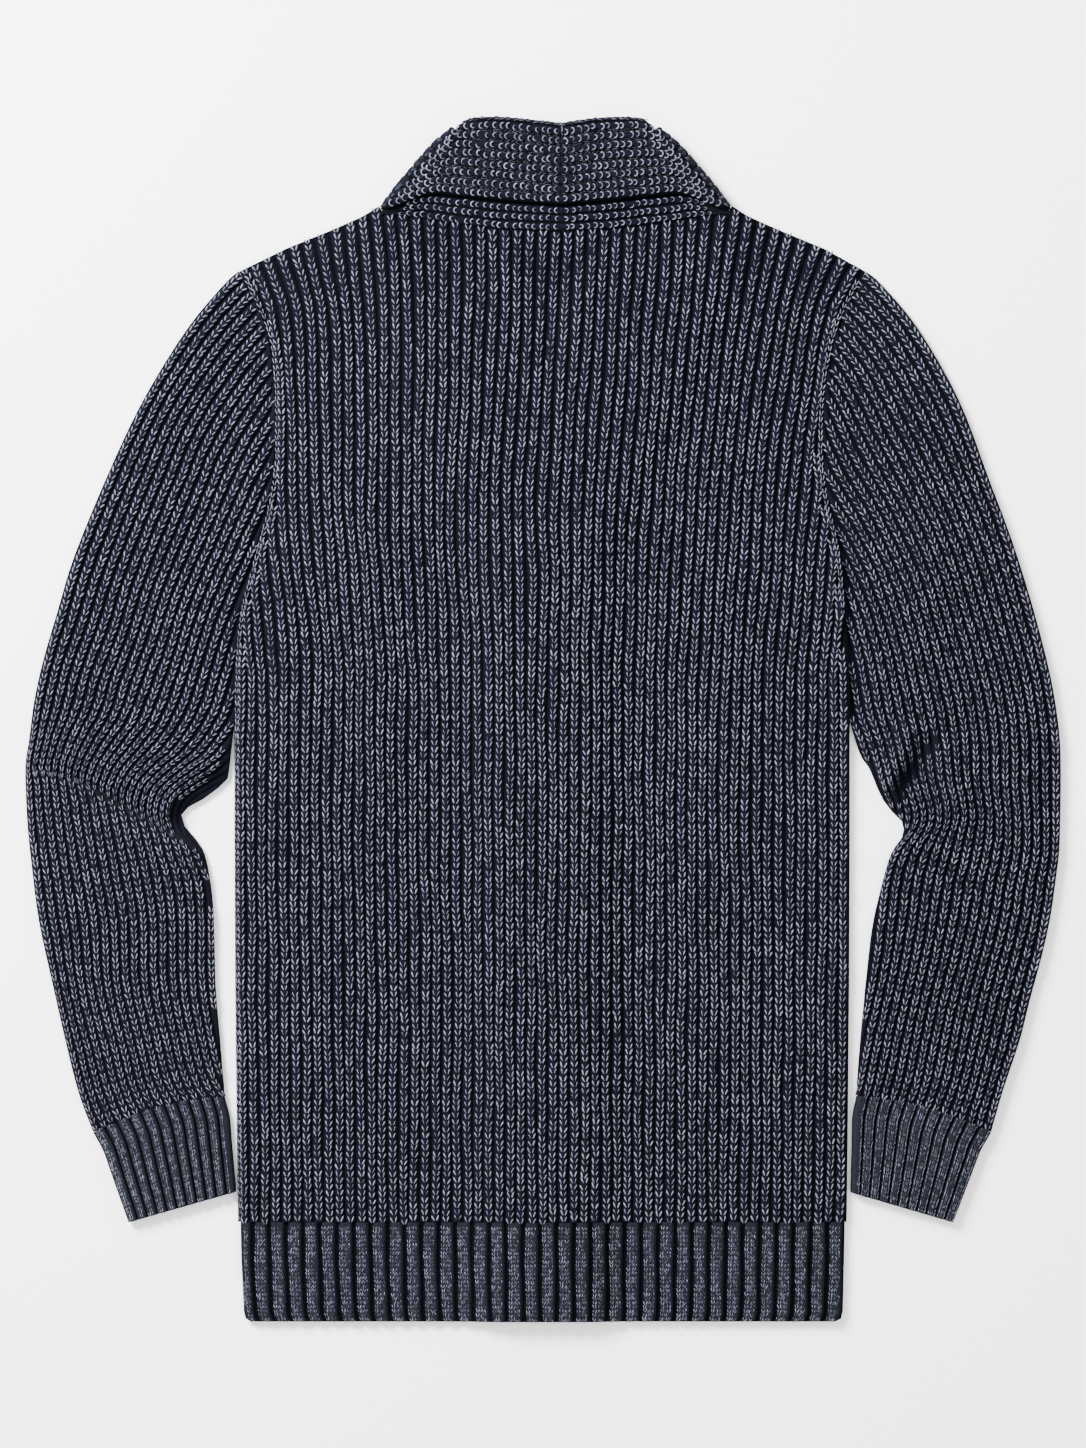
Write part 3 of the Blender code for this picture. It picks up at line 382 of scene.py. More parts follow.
def make_stitch(name, strands, thick):
    """One stitch lying along +Y, of yarn strands that run to a point at both tips.

    Tone is 1 on a strand and falls off at its tips: painted shade where they sink into the cloth.
    """
    places, faces, tones = [], [], []
    for strand in np.array(strands, float):
        start, rings = len(places), len(strand) - 2
        places.append(strand[0])
        for before, point, after in zip(strand, strand[1:], strand[2:]):
            along = (after - before) / np.linalg.norm(after - before)
            beside = np.cross(along, (0.0, 0.0, 1.0))
            beside /= np.linalg.norm(beside)
            above = np.cross(beside, along)
            for turn in np.radians(STRAND_SIDES):
                reach = math.cos(turn) * beside * STRAND_WIDE + math.sin(turn) * above
                places.append(point + 0.5 * thick * reach)
        places.append(strand[-1])
        tones += [FOOT_TONE] + [1.0] * (3 * rings) + [HEAD_TONE]
        for i in range(3):
            k = (i + 1) % 3
            faces.append((start, start + 1 + k, start + 1 + i))
            for ring in range(rings - 1):
                low, high = start + 1 + 3 * ring, start + 4 + 3 * ring
                faces.append((low + i, low + k, high + k, high + i))
            last = start + 1 + 3 * (rings - 1)
            faces.append((last + i, last + k, len(places) - 1))
    data = new_mesh(name, places, faces)
    store(data, "tone", tones)
    data.shade_smooth()
    return add_object(name, data)


def v_strands(spread, long, lifts):
    """The two legs of a V stitch, from its foot; lifts are (share of the way, height)."""
    legs = []
    for hand in (-1, 1):
        foot = np.array((FOOT_SPREAD * hand * spread, -0.5 * long, -FOOT_DEPTH))
        head = np.array((hand * spread, 0.5 * long, -HEAD_DEPTH))
        bends = [foot + at * (head - foot) + (0.0, 0.0, lift) for at, lift in lifts]
        legs.append([foot, *bends, head])
    return legs


def loop_strands(spread, long, turns):
    """An open ring of yarn, closed towards -Y."""
    angles = np.radians(np.linspace(-LOOP_OPEN, LOOP_OPEN, turns))
    rise = LOOP_HIGH * np.cos(LOOP_ARCH * angles) - LOOP_DEPTH
    return [np.column_stack((spread * np.sin(angles), -0.5 * long * np.cos(angles), rise))]


FULL_LEG = ((0.25, 0.42), (0.70, 0.52))
PLAIN_LEG = ((0.5, 0.55),)
V_STITCH = make_stitch("v_stitch", v_strands(2.15, 4.8, FULL_LEG), 1.25)
V_STITCH_PLAIN = make_stitch("v_stitch_plain", v_strands(2.2, 4.5, PLAIN_LEG), 1.4)
LOOP_STITCH = make_stitch("loop_stitch", loop_strands(1.7, 3.3, 8), 1.05)
SLIM_STITCH = make_stitch("slim_stitch", v_strands(1.7, 3.5, FULL_LEG), 0.68)

LEAN = (0.10, 0.16, 0.16)          # most that a stitch leans about each of its axes
STRAY = (0.0003, 0.0005, 0.0002)   # most that it strays, in metres
WIDTHS = (0.88, 1.12)              # least and most of its width, length and height
LENGTHS = (0.92, 1.1)
HEIGHTS = (0.85, 1.2)


def stitch_tree():
    """Sets a stitch along every line, a row's pitch apart, a little uneven in turn and size.

    Each line carries up, the way its stitches face, and wide, how wide they are.
    """
    tree = bpy.data.node_groups.new("stitches_along_lines", "GeometryNodeTree")
    for label, kind in (("Lines", "NodeSocketGeometry"), ("Stitch", "NodeSocketObject"),
                        ("Pitch", "NodeSocketFloat"), ("Uneven", "NodeSocketFloat"),
                        ("Seed", "NodeSocketInt"), ("Yarn", "NodeSocketMaterial")):
        tree.interface.new_socket(label, in_out="INPUT", socket_type=kind)
    tree.interface.new_socket("Stitches", in_out="OUTPUT", socket_type="NodeSocketGeometry")
    given = add_node(tree, "NodeGroupInput").outputs

    def attribute(name, kind):
        return add_node(tree, "GeometryNodeInputNamedAttribute", {"Name": name}, data_type=kind)

    def chance(low, high, salt, kind="FLOAT"):
        """A random value for each stitch; each salt gives other ones."""
        seed = add_node(tree, "ShaderNodeMath", {0: given["Seed"], 1: salt}, operation="ADD")
        return add_node(tree, "FunctionNodeRandomValue", {"Min": low, "Max": high, "Seed": seed},
                        data_type=kind)

    def uneven(most, salt):
        """A random vector for each stitch, up to these most either way."""
        vector = chance([-part for part in most], most, salt, "FLOAT_VECTOR")
        return add_node(tree, "ShaderNodeVectorMath", {"Vector": vector, "Scale": given["Uneven"]},
                        operation="SCALE")

    curve = add_node(tree, "GeometryNodeMeshToCurve", {"Mesh": given["Lines"]})
    even = add_node(tree, "GeometryNodeResampleCurve", {"Curve": curve, "Length": given["Pitch"]},
                    mode="LENGTH")
    facing = add_node(tree, "FunctionNodeAxesToRotation", {
        "Primary Axis": add_node(tree, "GeometryNodeInputTangent"),
        "Secondary Axis": attribute("up", "FLOAT_VECTOR")}, primary_axis="Y", secondary_axis="Z")
    lean = add_node(tree, "FunctionNodeEulerToRotation", {"Euler": uneven(LEAN, 1)})
    leaning = add_node(tree, "FunctionNodeRotateRotation", {"Rotation": facing, "Rotate By": lean},
                       rotation_space="LOCAL")
    width = add_node(tree, "ShaderNodeMath", {
        0: chance(*WIDTHS, 2), 1: attribute("wide", "FLOAT")}, operation="MULTIPLY")
    size = add_node(tree, "ShaderNodeCombineXYZ", {
        "X": width, "Y": chance(*LENGTHS, 3), "Z": chance(*HEIGHTS, 4)})
    stitch = add_node(tree, "GeometryNodeObjectInfo", {"Object": given["Stitch"]},
                      transform_space="ORIGINAL")
    placed = add_node(tree, "GeometryNodeInstanceOnPoints", {
        "Points": even, "Instance": stitch.outputs["Geometry"], "Rotation": leaning, "Scale": size})
    strayed = add_node(tree, "GeometryNodeTranslateInstances", {
        "Instances": placed, "Translation": uneven(STRAY, 5)})
    shaded = add_node(tree, "GeometryNodeStoreNamedAttribute", {
        "Geometry": strayed, "Name": "shade", "Value": chance(0.0, 1.0, 6)},
        data_type="FLOAT", domain="INSTANCE")
    real = add_node(tree, "GeometryNodeRealizeInstances", {"Geometry": shaded})
    yarn = add_node(tree, "GeometryNodeSetMaterial", {"Geometry": real, "Material": given["Yarn"]})
    add_node(tree, "NodeGroupOutput", {"Stitches": yarn})
    return tree


STITCH_TREE = stitch_tree()
STITCH_SOCKETS = {item.name: item.identifier for item in STITCH_TREE.interface.items_tree
                  if item.in_out == "INPUT"}


def add_piece(name, data, nodes=()):
    """A finished piece, which rides on the body in the place of these nodes."""
    piece = add_object(name, data)
    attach(piece, "root")
    if nodes:
        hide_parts(*nodes)
    return piece


def finished_mesh(name, holder):
    """The plain mesh that an object's modifiers make. The object goes."""
    bpy.context.view_layer.update()
    evaluated = holder.evaluated_get(bpy.context.evaluated_depsgraph_get())
    data = bpy.data.meshes.new_from_object(evaluated)
    data.name = name
    bpy.data.objects.remove(holder)
    return data


def knit_stitches(name, lines, stitch, pitch, seed, uneven=1.0, yarn=YARN):
    """Stitches along lines of (places, facing, wide), as one plain mesh."""
    starts = np.cumsum([0] + [len(line[0]) for line in lines])
    edges = [(i, i + 1) for a, b in zip(starts, starts[1:]) for i in range(a, b - 1)]
    guide = new_mesh(name + "_guide", np.vstack([line[0] for line in lines]), [], edges)
    store(guide, "up", np.vstack([line[1] for line in lines]))
    store(guide, "wide", np.concatenate([np.broadcast_to(line[2], len(line[0])) for line in lines]))
    holder = add_object(name + "_guide", guide)
    modifier = holder.modifiers.new("stitches", "NODES")
    modifier.node_group = STITCH_TREE
    for label, value in (("Stitch", stitch), ("Pitch", pitch * MM), ("Uneven", uneven),
                         ("Seed", seed), ("Yarn", yarn)):
        modifier[STITCH_SOCKETS[label]] = value
    return add_piece(name, finished_mesh(name, holder))


def kept_runs(keep):
    """Slices of the stretches that are kept, of three places or more."""
    marks = np.flatnonzero(np.diff(np.concatenate(([0], keep.astype(int), [0]))))
    return [slice(a, b) for a, b in zip(marks[::2], marks[1::2]) if b - a >= 3]


def ring_faces(rings, around):
    """Faces round a solid of rings of points, with a flat one at either end."""
    faces = [(j * around + i, j * around + (i + 1) % around, (j + 1) * around + (i + 1) % around,
              (j + 1) * around + i) for j in range(rings - 1) for i in range(around)]
    faces.append(tuple(range(around))[::-1])
    faces.append(tuple(range((rings - 1) * around, rings * around)))
    return faces


def close_body(name, points, faces, rise, nodes, ground=GROUND):
    """A closed piece of cloth from points in mm: merged, facing outwards, riding on the body."""
    data = new_mesh(name, points, faces)
    store(data, "rise", rise)
    mesh = bmesh.new()
    mesh.from_mesh(data)
    bmesh.ops.remove_doubles(mesh, verts=mesh.verts, dist=MERGE * MM)
    bmesh.ops.delete(mesh, geom=[v for v in mesh.verts if not v.link_faces], context="VERTS")
    if mesh.calc_volume(signed=True) < 0.0:
        bmesh.ops.reverse_faces(mesh, faces=mesh.faces)
    mesh.to_mesh(data)
    mesh.free()
    data.materials.append(ground)
    data.shade_smooth()
    data.set_sharp_from_angle(angle=math.radians(CLOTH_SHARP))
    return add_piece(name, data, nodes)


def cloth_shell(name, detailed, plain, rise, steps, nodes, closed=False, ground=GROUND):
    """A wall of cloth between a detailed face and a plain one with the same border.

    Both are grids of points. The plain one is taken only every so many rows and
    columns, apart from its border. A closed one runs round in its columns.
    """
    rows, columns = detailed.shape[:2]
    faces = []

    def at(layer, j, i):
        return layer * rows * columns + j * columns + i % columns

    spans = columns if closed else columns - 1
    for j in range(rows - 1):
        for i in range(spans):
            faces.append((at(0, j, i), at(0, j, i + 1), at(0, j + 1, i + 1), at(0, j + 1, i)))
    for i in range(spans):
        faces.append((at(0, 0, i + 1), at(0, 0, i), at(1, 0, i), at(1, 0, i + 1)))
        faces.append((at(0, rows - 1, i), at(0, rows - 1, i + 1),
                      at(1, rows - 1, i + 1), at(1, rows - 1, i)))
    if not closed:
        end = columns - 1
        for j in range(rows - 1):
            faces.append((at(0, j, 0), at(0, j + 1, 0), at(1, j + 1, 0), at(1, j, 0)))
            faces.append((at(0, j + 1, end), at(0, j, end), at(1, j, end), at(1, j + 1, end)))
    step_j, step_i = steps
    rows_at = list(range(0, rows - 1, step_j)) + [rows - 1]
    columns_at = list(range(0, spans, step_i)) + [spans]
    for j0, j1 in zip(rows_at, rows_at[1:]):
        for i0, i1 in zip(columns_at, columns_at[1:]):
            low = range(i0, i1) if j0 == 0 else (i0,)
            right = range(j0, j1) if i1 == spans and not closed else (j0,)
            high = range(i1, i0, -1) if j1 == rows - 1 else (i1,)
            left = range(j1, j0, -1) if i0 == 0 and not closed else (j1,)
            ring = ([at(1, j0, i) for i in low] + [at(1, j, i1) for j in right]
                    + [at(1, j1, i) for i in high] + [at(1, j, i0) for j in left])
            faces.append(tuple(ring[::-1]))
    points = np.vstack((detailed.reshape(-1, 3), plain.reshape(-1, 3)))
    rises = np.concatenate((rise.ravel(), np.full(rows * columns, WALL_RISE)))
    return close_body(name, points, faces, rises, nodes, ground)


def collar_profile(stand, fall, turn):
    """Section of the folded collar, from the fall's free edge over the roll to the seam.

    Returns how far along and how high up its points lie, their rise, how far along the
    middle of each rib of the fall and of the stand lies, the height of the fall's crests,
    and how much of their full height the stand's ribs have.
    """
    low, high = 0.5 * GAP, 0.5 * GAP + 2.0 * LAYER - GAP
    centre_up, radius = 0.5 * (low + high), 0.5 * (high - low)
    under = ease(turn / 180.0)
    crest = CREST * (1.0 - under) + TURNED_CREST * under
    groove = COLLAR_GROOVE * (1.0 - under) + TURNED_GROOVE * under
    reach = max(fall - radius, FALL_LEAST)
    free = stand - radius - reach
    across = rib_columns(0, COLLAR_ROWS)
    relief = rib_relief(across)
    inward = 1.0 - np.clip(across * reach / COLLAR_ROWS / FREE_ROUND, FREE_EDGE, 1.0)
    along = list(free + reach * across / COLLAR_ROWS)
    up = list(high - CLOTH + np.sqrt(1.0 - inward ** 2) * (CLOTH + groove + (crest - groove) * relief))
    rise = list(relief)
    for angle in np.radians(ROLL_ANGLES):
        along.append(stand - radius + radius * math.cos(angle))
        up.append(centre_up + radius * math.sin(angle))
        rise.append(ROLL_RISE)
    along += [stand - radius, 0.5 * stand, 0.0]
    up += [low] * 3
    rise += [PLAIN_RISE] * 3
    shown = max(free - STAND_CLEAR, STAND_LEAST)
    across = rib_columns(0, STAND_ROWS)
    relief = rib_relief(across)
    share = min(shown / STAND_FULL, 1.0) * (1.0 - under)
    along += list(shown * across / STAND_ROWS)
    up += list(low + CLOTH + share * (COLLAR_GROOVE + (CREST - COLLAR_GROOVE) * relief))
    rise += list(relief * STAND_RISE)
    along += [stand - radius - CREVICE_SHORT, stand - radius + CREVICE_PAST,
              stand - radius - CREVICE_SHORT, free]
    up += [low + CLOTH, centre_up, high - CLOTH, high - CLOTH]
    rise += [HIDDEN_RISE] * 4
    fall_ribs = free + reach * (np.arange(COLLAR_ROWS) + 0.5) / COLLAR_ROWS
    stand_ribs = shown * (np.arange(STAND_ROWS) + 0.5) / STAND_ROWS
    return np.array(along), np.array(up), np.array(rise), fall_ribs, stand_ribs, high + crest, share


def make_collar(side):
    name = SIDE_NAME[side]
    loops, rises, fall_lines, groove_lines, stand_lines, roll_row, lines = ([] for _list in range(7))
    round_at = math.radians(ROLL_ROW_AT)
    for seam, roll, fall, turn in zip(*collar_stations(side, COLLAR_STEPS, CREASE_STEPS)):
        stand = np.linalg.norm(roll - seam)
        forward = (roll - seam) / stand
        outward = np.array((forward[1], -forward[0])) * side
        angle = math.radians(turn)
        along, up, rise, fall_ribs, stand_ribs, top, share = collar_profile(stand, fall, turn)

        def placed(at, height):
            height = np.broadcast_to(height, len(at))
            at = at - END_TUCK * math.sin(angle) * np.clip(1.0 - at / TUCK_REACH, 0.0, 1.0)
            taper = 1.0 - CORNER_THIN * ease((at - stand + CORNER) / CORNER)
            belly = height * taper + SLOPE_OUT * np.clip(at / SLOPE_REACH, 0.0, 1.0)
            flat = seam + np.outer(at, forward) + np.outer(belly, outward) * math.sin(angle)
            return np.column_stack((flat, NECK_LEVEL + height * math.cos(angle)))

        facing = np.array((*(outward * math.sin(angle)), math.cos(angle)))
        loops.append(placed(along, up))
        rises.append(rise)
        flat_row = turn in (0.0, 180.0)
        rib_width = fall_ribs[1] - fall_ribs[0]
        fall_lines.append((placed(fall_ribs, top), facing,
                           min(rib_width / FULL_RIB, WIDEST) * flat_row))
        groove_lines.append((placed(fall_ribs[:-1] + 0.5 * rib_width, top - FINE_DEPTH), facing,
                             FINE_WIDE * flat_row))
        stand_lines.append((placed(stand_ribs, 0.5 * GAP + CLOTH + CREST), facing,
                            (stand_ribs[1] - stand_ribs[0]) / FULL_RIB * share))
        if turn == 0.0:
            tipped = facing * math.sin(round_at) + np.array((*forward, 0.0)) * math.cos(round_at)
            spot = placed(np.array([stand - ROLL_RADIUS * (1.0 - ROLL_ROW_OUT * math.cos(round_at))]),
                          0.5 * GAP + ROLL_RADIUS * (1.0 + ROLL_ROW_OUT * math.sin(round_at)))
            roll_row.append((spot[0], tipped))
        if turn in SLOPE_TURNS:
            at = np.linspace(stand - fall + SLOPE_FROM, stand - SLOPE_TO, SLOPE_POINTS)
            lines.append((placed(at, top - FINE_DEPTH), np.tile(facing, (SLOPE_POINTS, 1)), SLOPE_WIDE))
    loops, rises = np.array(loops), np.array(rises)
    shell = close_body(f"collar_cloth_{name}", loops.reshape(-1, 3),
                       ring_faces(*rises.shape), rises.ravel(), [f"collar_{name}"])
    lines.append((*(np.array(part) for part in zip(*roll_row)), ROLL_WIDE_ROW))
    rows, fine_rows = [], []
    for found, narrowest, kept in ((fall_lines, FALL_NARROWEST, rows),
                                   (stand_lines, STAND_NARROWEST, rows),
                                   (groove_lines, FINE_NARROWEST, fine_rows)):
        facing, wide = (np.array(part) for part in list(zip(*found))[1:])
        for rib in range(len(found[0][0])):
            places = np.array([section[0][rib] for section in found])
            places[0] += SEAM_SHARE * (places[1] - places[0])
            kept.extend((places[run][::-1], facing[run][::-1], wide[run][::-1])
                        for run in kept_runs(wide > narrowest))
    return shell, [
        knit_stitches(f"collar_grooves_{name}", fine_rows, SLIM_STITCH, FINE_PITCH,
                      seed=17 + side, uneven=2.0, yarn=GROOVE_SHADE_YARN),
        knit_stitches(f"collar_loops_{name}", rows, LOOP_STITCH, LOOP_PITCH,
                      seed=11 + side, uneven=1.7),
        knit_stitches(f"collar_edges_{name}", lines, V_STITCH, ROW_PITCH,
                      seed=14 + side, uneven=1.6, yarn=EDGE_SHADE_YARN)]


for hand in (-1, 1):
    collar, collar_stitches = make_collar(hand)

# ---------------------------------------------------------------- front bands
# Each collar half goes on as a straight band down to the hem, knitted in one with it.
# The band of the buttonholes lies on the one that carries the buttons.
BAND = 35.0
BAND_TOP = 33.5            # width where the collar begins
BAND_RIBS = 5
BAND_STEP = 8.0            # from row to row of its mesh
BAND_STITCH = 0.95         # width of a stitch there, against the rib's
COURSE_PITCH = 4.8         # from stitch to stitch along a band
TOP_SHARE = 0.03           # share of its length over which its top slants over to the collar
END_SHARE = 0.003          # and that its stitches leave bare at either end
V_TOP = (116.5, 343.4)     # neck end of the collar's front seam, out from the middle
V_END = (17.5, 110.0)      # where that seam meets the straight band
HEM_BOTTOM = -409.4
BUTTON_THICK = 2.1
BUTTON_LIFT = BUTTON_THICK + GAP
LIFT_TOP = 122.0           # height up to which the bands ride on the buttons
LIFT_FADE = 24.0           # and over which they sink back to the table
GROOVE = -1.5              # floor of a groove below the plain wall
UNDER_CREST = 1.2          # crest of a rib on an underside, above its lowest stitch
UNDER_GROOVE = 1.8
LEAST_WALL = 0.4           # left over an underside's ribs at a rounded edge
OUTLINE_POINTS = 9         # up each long side of a band's outline
RIB_STEPS = (3, 6)         # rows and columns from point to point of a wall's plain side


def cover(distance, flat, ramp):
    """1 up to the distance flat, falling softly to 0 over the next stretch, ramp."""
    return 1.0 - ease((distance - flat) / ramp)


def to_stretch(x, y, start, end):
    """How far along a straight stretch each place lies, 0 to 1, and how far from it."""
    (ax, ay), (bx, by) = start, end
    dx, dy = bx - ax, by - ay
    t = np.clip(((x - ax) * dx + (y - ay) * dy) / max(dx * dx + dy * dy, 1e-9), 0.0, 1.0)
    return t, np.hypot(x - ax - t * dx, y - ay - t * dy)


def to_line(x, y, line):
    """Distance from each place to a line of points."""
    nearest = np.full(np.shape(x), np.inf)
    for start, end in zip(line, line[1:]):
        nearest = np.minimum(nearest, to_stretch(x, y, start, end)[1])
    return nearest


def to_edge(x, y, outline):
    """Distance from each place to an outline, which closes on its first point."""
    return to_line(x, y, np.vstack((outline, outline[:1])))


def within(x, y, outline):
    """Which places lie inside an outline."""
    inside = np.zeros(np.shape(x), bool)
    for (ax, ay), (bx, by) in zip(outline, np.roll(outline, -1, axis=0)):
        if ay != by:
            crossed = (ay > y) != (by > y)
            inside ^= crossed & (x < (bx - ax) * (y - ay) / (by - ay) + ax)
    return inside


def to_area(x, y, outline):
    """Distance to the area inside an outline, 0 within it."""
    return np.where(within(x, y, outline), 0.0, to_edge(x, y, outline))


def collar_areas(side):
    """Where one collar half lies on the front, as stand and as fall, and on the back."""
    seam, roll, fall, turn = collar_stations(side, steps=2, crease_steps=6)
    toward = (seam - roll) / np.linalg.norm(seam - roll, axis=1)[:, None]
    free = roll + toward * fall[:, None]
    front, back = turn == 180.0, turn == 0.0
    return (np.vstack((seam[front], roll[front][::-1])), np.vstack((free[front], roll[front][::-1])),
            np.vstack((seam[back], roll[back][::-1])))


COLLAR_AREAS = {side: collar_areas(side) for side in (-1, 1)}


def collar_lift(side, x, y, flat, ramp):
    """How far the part of the collar that lies on one front lifts what is above it."""
    stand, fall, _back = COLLAR_AREAS[side]
    distance = np.minimum(to_area(x, y, stand), to_area(x, y, fall))
    return LAYER * cover(distance, flat, ramp)


def button_lift(y):
    """How far the buttons lift the bands, up to just above the first one."""
    return BUTTON_LIFT * (1.0 - ease((y - LIFT_TOP) / LIFT_FADE))


def seam_out(y):
    """How far out from the middle line the seam of a collar or band runs."""
    slope = (V_TOP[0] - V_END[0]) / (V_TOP[1] - V_END[1])
    return V_END[0] + slope * np.maximum(y - V_END[1], 0.0)


def band_height(side, x, y):
    """Underside of a band. The right one lies on the left one."""
    if side > 0:
        return LAYER + button_lift(y)
    return button_lift(y) + collar_lift(side, x, y, flat=1.0, ramp=11.0)


def on_surface(x, y, height, below=False):
    """Places on the surface z = height(x, y), and the way it faces there."""
    step = 0.6
    slope_x = (height(x + step, y) - height(x - step, y)) / (2.0 * step)
    slope_y = (height(x, y + step) - height(x, y - step)) / (2.0 * step)
    facing = np.stack((-slope_x, -slope_y, np.ones_like(x)), axis=-1)
    facing /= np.linalg.norm(facing, axis=-1)[..., None]
    return np.stack((x, y, height(x, y)), axis=-1), -facing if below else facing


def upper_ribs(relief):
    """Height of the ribs of an upper side over the plain wall."""
    return GROOVE + (CREST - GROOVE) * relief


def under_ribs(relief):
    """Height of the ribs of an underside over its lowest stitch."""
    return UNDER_GROOVE + (UNDER_CREST - UNDER_GROOVE) * relief


def panel(name, x, y, low, wall, relief, faces_down, steps, node, ground=GROUND):
    """A flat wall of cloth, ribbed on top or, where it lies face down, underneath.

    Low is the height of its underside, and wall its thickness.
    """
    if faces_down:
        plain = low + CLOTH
        ribbed = plain - wall + np.minimum(under_ribs(relief), wall - LEAST_WALL)
    else:
        plain = low
        ribbed = low + wall + wall / CLOTH * upper_ribs(relief)
    return cloth_shell(name, np.stack((x, y, ribbed), axis=-1), np.stack((x, y, plain), axis=-1),
                       relief, steps, [node], ground=ground)


def make_band(side):
    rows = int((COLLAR_END - HEM_BOTTOM) / BAND_STEP)
    _out, _y, roll_out, roll_y, _fall = COLLAR_FRONT[-1]
    top_seam = (seam_out(COLLAR_END - GAP), COLLAR_END - GAP)
    top_free = (roll_out - GAP, roll_y - GAP)

    def places(across, up):
        """x and y at this share of the width from the free edge, and of the length."""
        y = HEM_BOTTOM + up * (top_free[1] + (top_seam[1] - top_free[1]) * across - HEM_BOTTOM)
        width = np.interp(y, (V_END[1], COLLAR_END), (BAND, BAND_TOP))
        slant = ease((up - 1.0 + TOP_SHARE) / TOP_SHARE) * (top_free[0] - (top_seam[0] - BAND_TOP))
        return middle(y) + side * (seam_out(y) + (slant - width) * (1.0 - across)), y

    def lowest(x, y):
        return band_height(side, x, y) + UNDER_CREST

    across, up = np.meshgrid(rib_columns(0, BAND_RIBS) / BAND_RIBS, np.linspace(0.0, 1.0, rows))
    x, y = places(across, up)
    shell = panel(f"band_cloth_{SIDE_NAME[side]}", x, y, band_height(side, x, y), CLOTH,
                  rib_relief(across * BAND_RIBS), True, RIB_STEPS, f"band_{SIDE_NAME[side]}")
    lines = []
    for rib in range(BAND_RIBS):
        x, y = places(np.full(rows, (rib + 0.5) / BAND_RIBS),
                      np.linspace(END_SHARE, 1.0 - END_SHARE, rows))
        lines.append((*on_surface(x, y, lowest, True), BAND_STITCH))
    length = np.linspace(0.0, 1.0, OUTLINE_POINTS)
    outline = np.vstack([np.column_stack(places(np.full(OUTLINE_POINTS, edge), length[::turn]))
                         for edge, turn in ((0.0, 1), (1.0, -1))])
    return shell, lines, outline


for hand in (-1, 1):
    band, band_lines, band_outline = make_band(hand)
    if hand < 0:                       # the other band is covered on both sides
        knit_stitches("band_stitches_left", band_lines, V_STITCH_PLAIN,
                                    COURSE_PITCH, seed=21)

# ---------------------------------------------------------------- fronts
# Two panels of half-cardigan rib, knitted up from the hem, with a slanting neck edge
# that the collar is sewn to. They lie under the back, right side down.
HEM_TOP = -341.5
BODY_RIBS = 57
BODY_PITCH = 7.34
UNDERARM_Y = 73.0
EDGE = 0.7                 # wall left at a rounded edge
ROUND = 4.0                # how far in from an edge the rounding reaches
BODY_ROW = 9.3             # from row to row of the body's meshes
SIDE_FADE = 1.5            # the ribs sink into a panel's side edge over this width
SETTLE = 14                # rounds in which the slanting rows of a panel settle,
SETTLE_TOP = 300.0         # and the height of its top that they start from
FRONT_RIBS = {-1: (-2, 32), 1: (25, BODY_RIBS + 2)}   # first and last rib of each front
SEAM_POINTS = 40           # up the outline of a front's neck edge
STITCHES_FROM = 2.5        # how far above a front's lower edge its stitches start,
STITCHES_IN = 2.6          # and how far in from its outline they stay
ABOVE_ALL = 350.0          # higher than every panel

BODY_EDGE = (
    # y, left x, right x: the side below the underarm, the armhole above it
    (HEM_TOP, -207.4, 206.5),
    (-180.0, -209.4, 208.2),
    (0.0, -209.9, 208.6),
    (46.0, -208.8, 207.5),
    (73.0, -206.0, 205.5),
    (93.0, -200.6, 204.0),
    (119.0, -193.8, 201.0),
    (141.0, -187.7, 195.5),
    (170.0, -182.9, 190.8),
    (198.0, -182.2, 190.4),
    (227.0, -182.6, 192.0),
    (257.0, -185.6, 197.5),
    (281.0, -194.0, 206.2),
    (304.6, -206.7, 219.4),
)
SHOULDER = (
    # out from the neck's middle, y
    (183.0, 320.2),
    (155.5, 331.5),
    (130.5, 342.2),
    (120.0, 349.0),
)
FAN = (
    # y, how far the ribs have fanned out
    (-345.0, 0.985),
    (-100.0, 1.0),
    (30.0, 1.0),
    (136.0, 1.053),
    (190.0, 1.07),
    (275.0, 1.114),
    (350.0, 1.155),
)
PUSH_TALL = 0.6            # how much a push is drawn out up the ribs
PUSHED = (
    # x, y, reach, how far the ribs are pushed sideways there
    (4.0, 95.0, 20.0, 2.0),
    (-34.0, 150.0, 34.0, -1.7),
    (-155.0, 60.0, 40.0, 2.1),
    (124.0, -60.0, 40.0, -1.8),
    (62.0, 205.0, 30.0, 1.5),
    (-86.0, -180.0, 42.0, 1.5),
    (150.0, 170.0, 26.0, -1.4),
    (20.0, -150.0, 30.0, -1.3),
)
SHOULDER_SPREAD = (
    # y, how much farther out the outermost rib runs, beside the armhole
    (252.0, 0.0),
    (281.0, 4.0),
    (304.6, 14.0),
    (350.0, 34.0),
)
OUTERMOST = 176.0          # how far out that rib is before it fans out
SPREAD_MOST = 1.1
SPREAD_CURVE = 4
WANDER = (
    # how far the ribs sway, turn from rib to rib, length up the rib, start
    (0.30, 0.83, 21.0, 0.0),
    (0.26, 1.9, -33.0, 1.3),
    (0.22, 0.37, 12.0, 0.6),
)
BODY_SIDES = smooth_curve(BODY_EDGE, 2)


def side_x(side, y):
    """Side or armhole edge of the body at a height."""
    return np.interp(y, BODY_SIDES[:, 0], BODY_SIDES[:, 1 if side < 0 else 2])


def body_edge(side):
    """The same edge as a line, from the hem up to the shoulder tip."""
    return BODY_SIDES[:, (1 if side < 0 else 2, 0)]


def shoulder(side):
    """Shoulder line, from beside the armhole to beside the collar."""
    out, y = np.array(SHOULDER).T
    return np.column_stack((middle(y) + side * out, y))


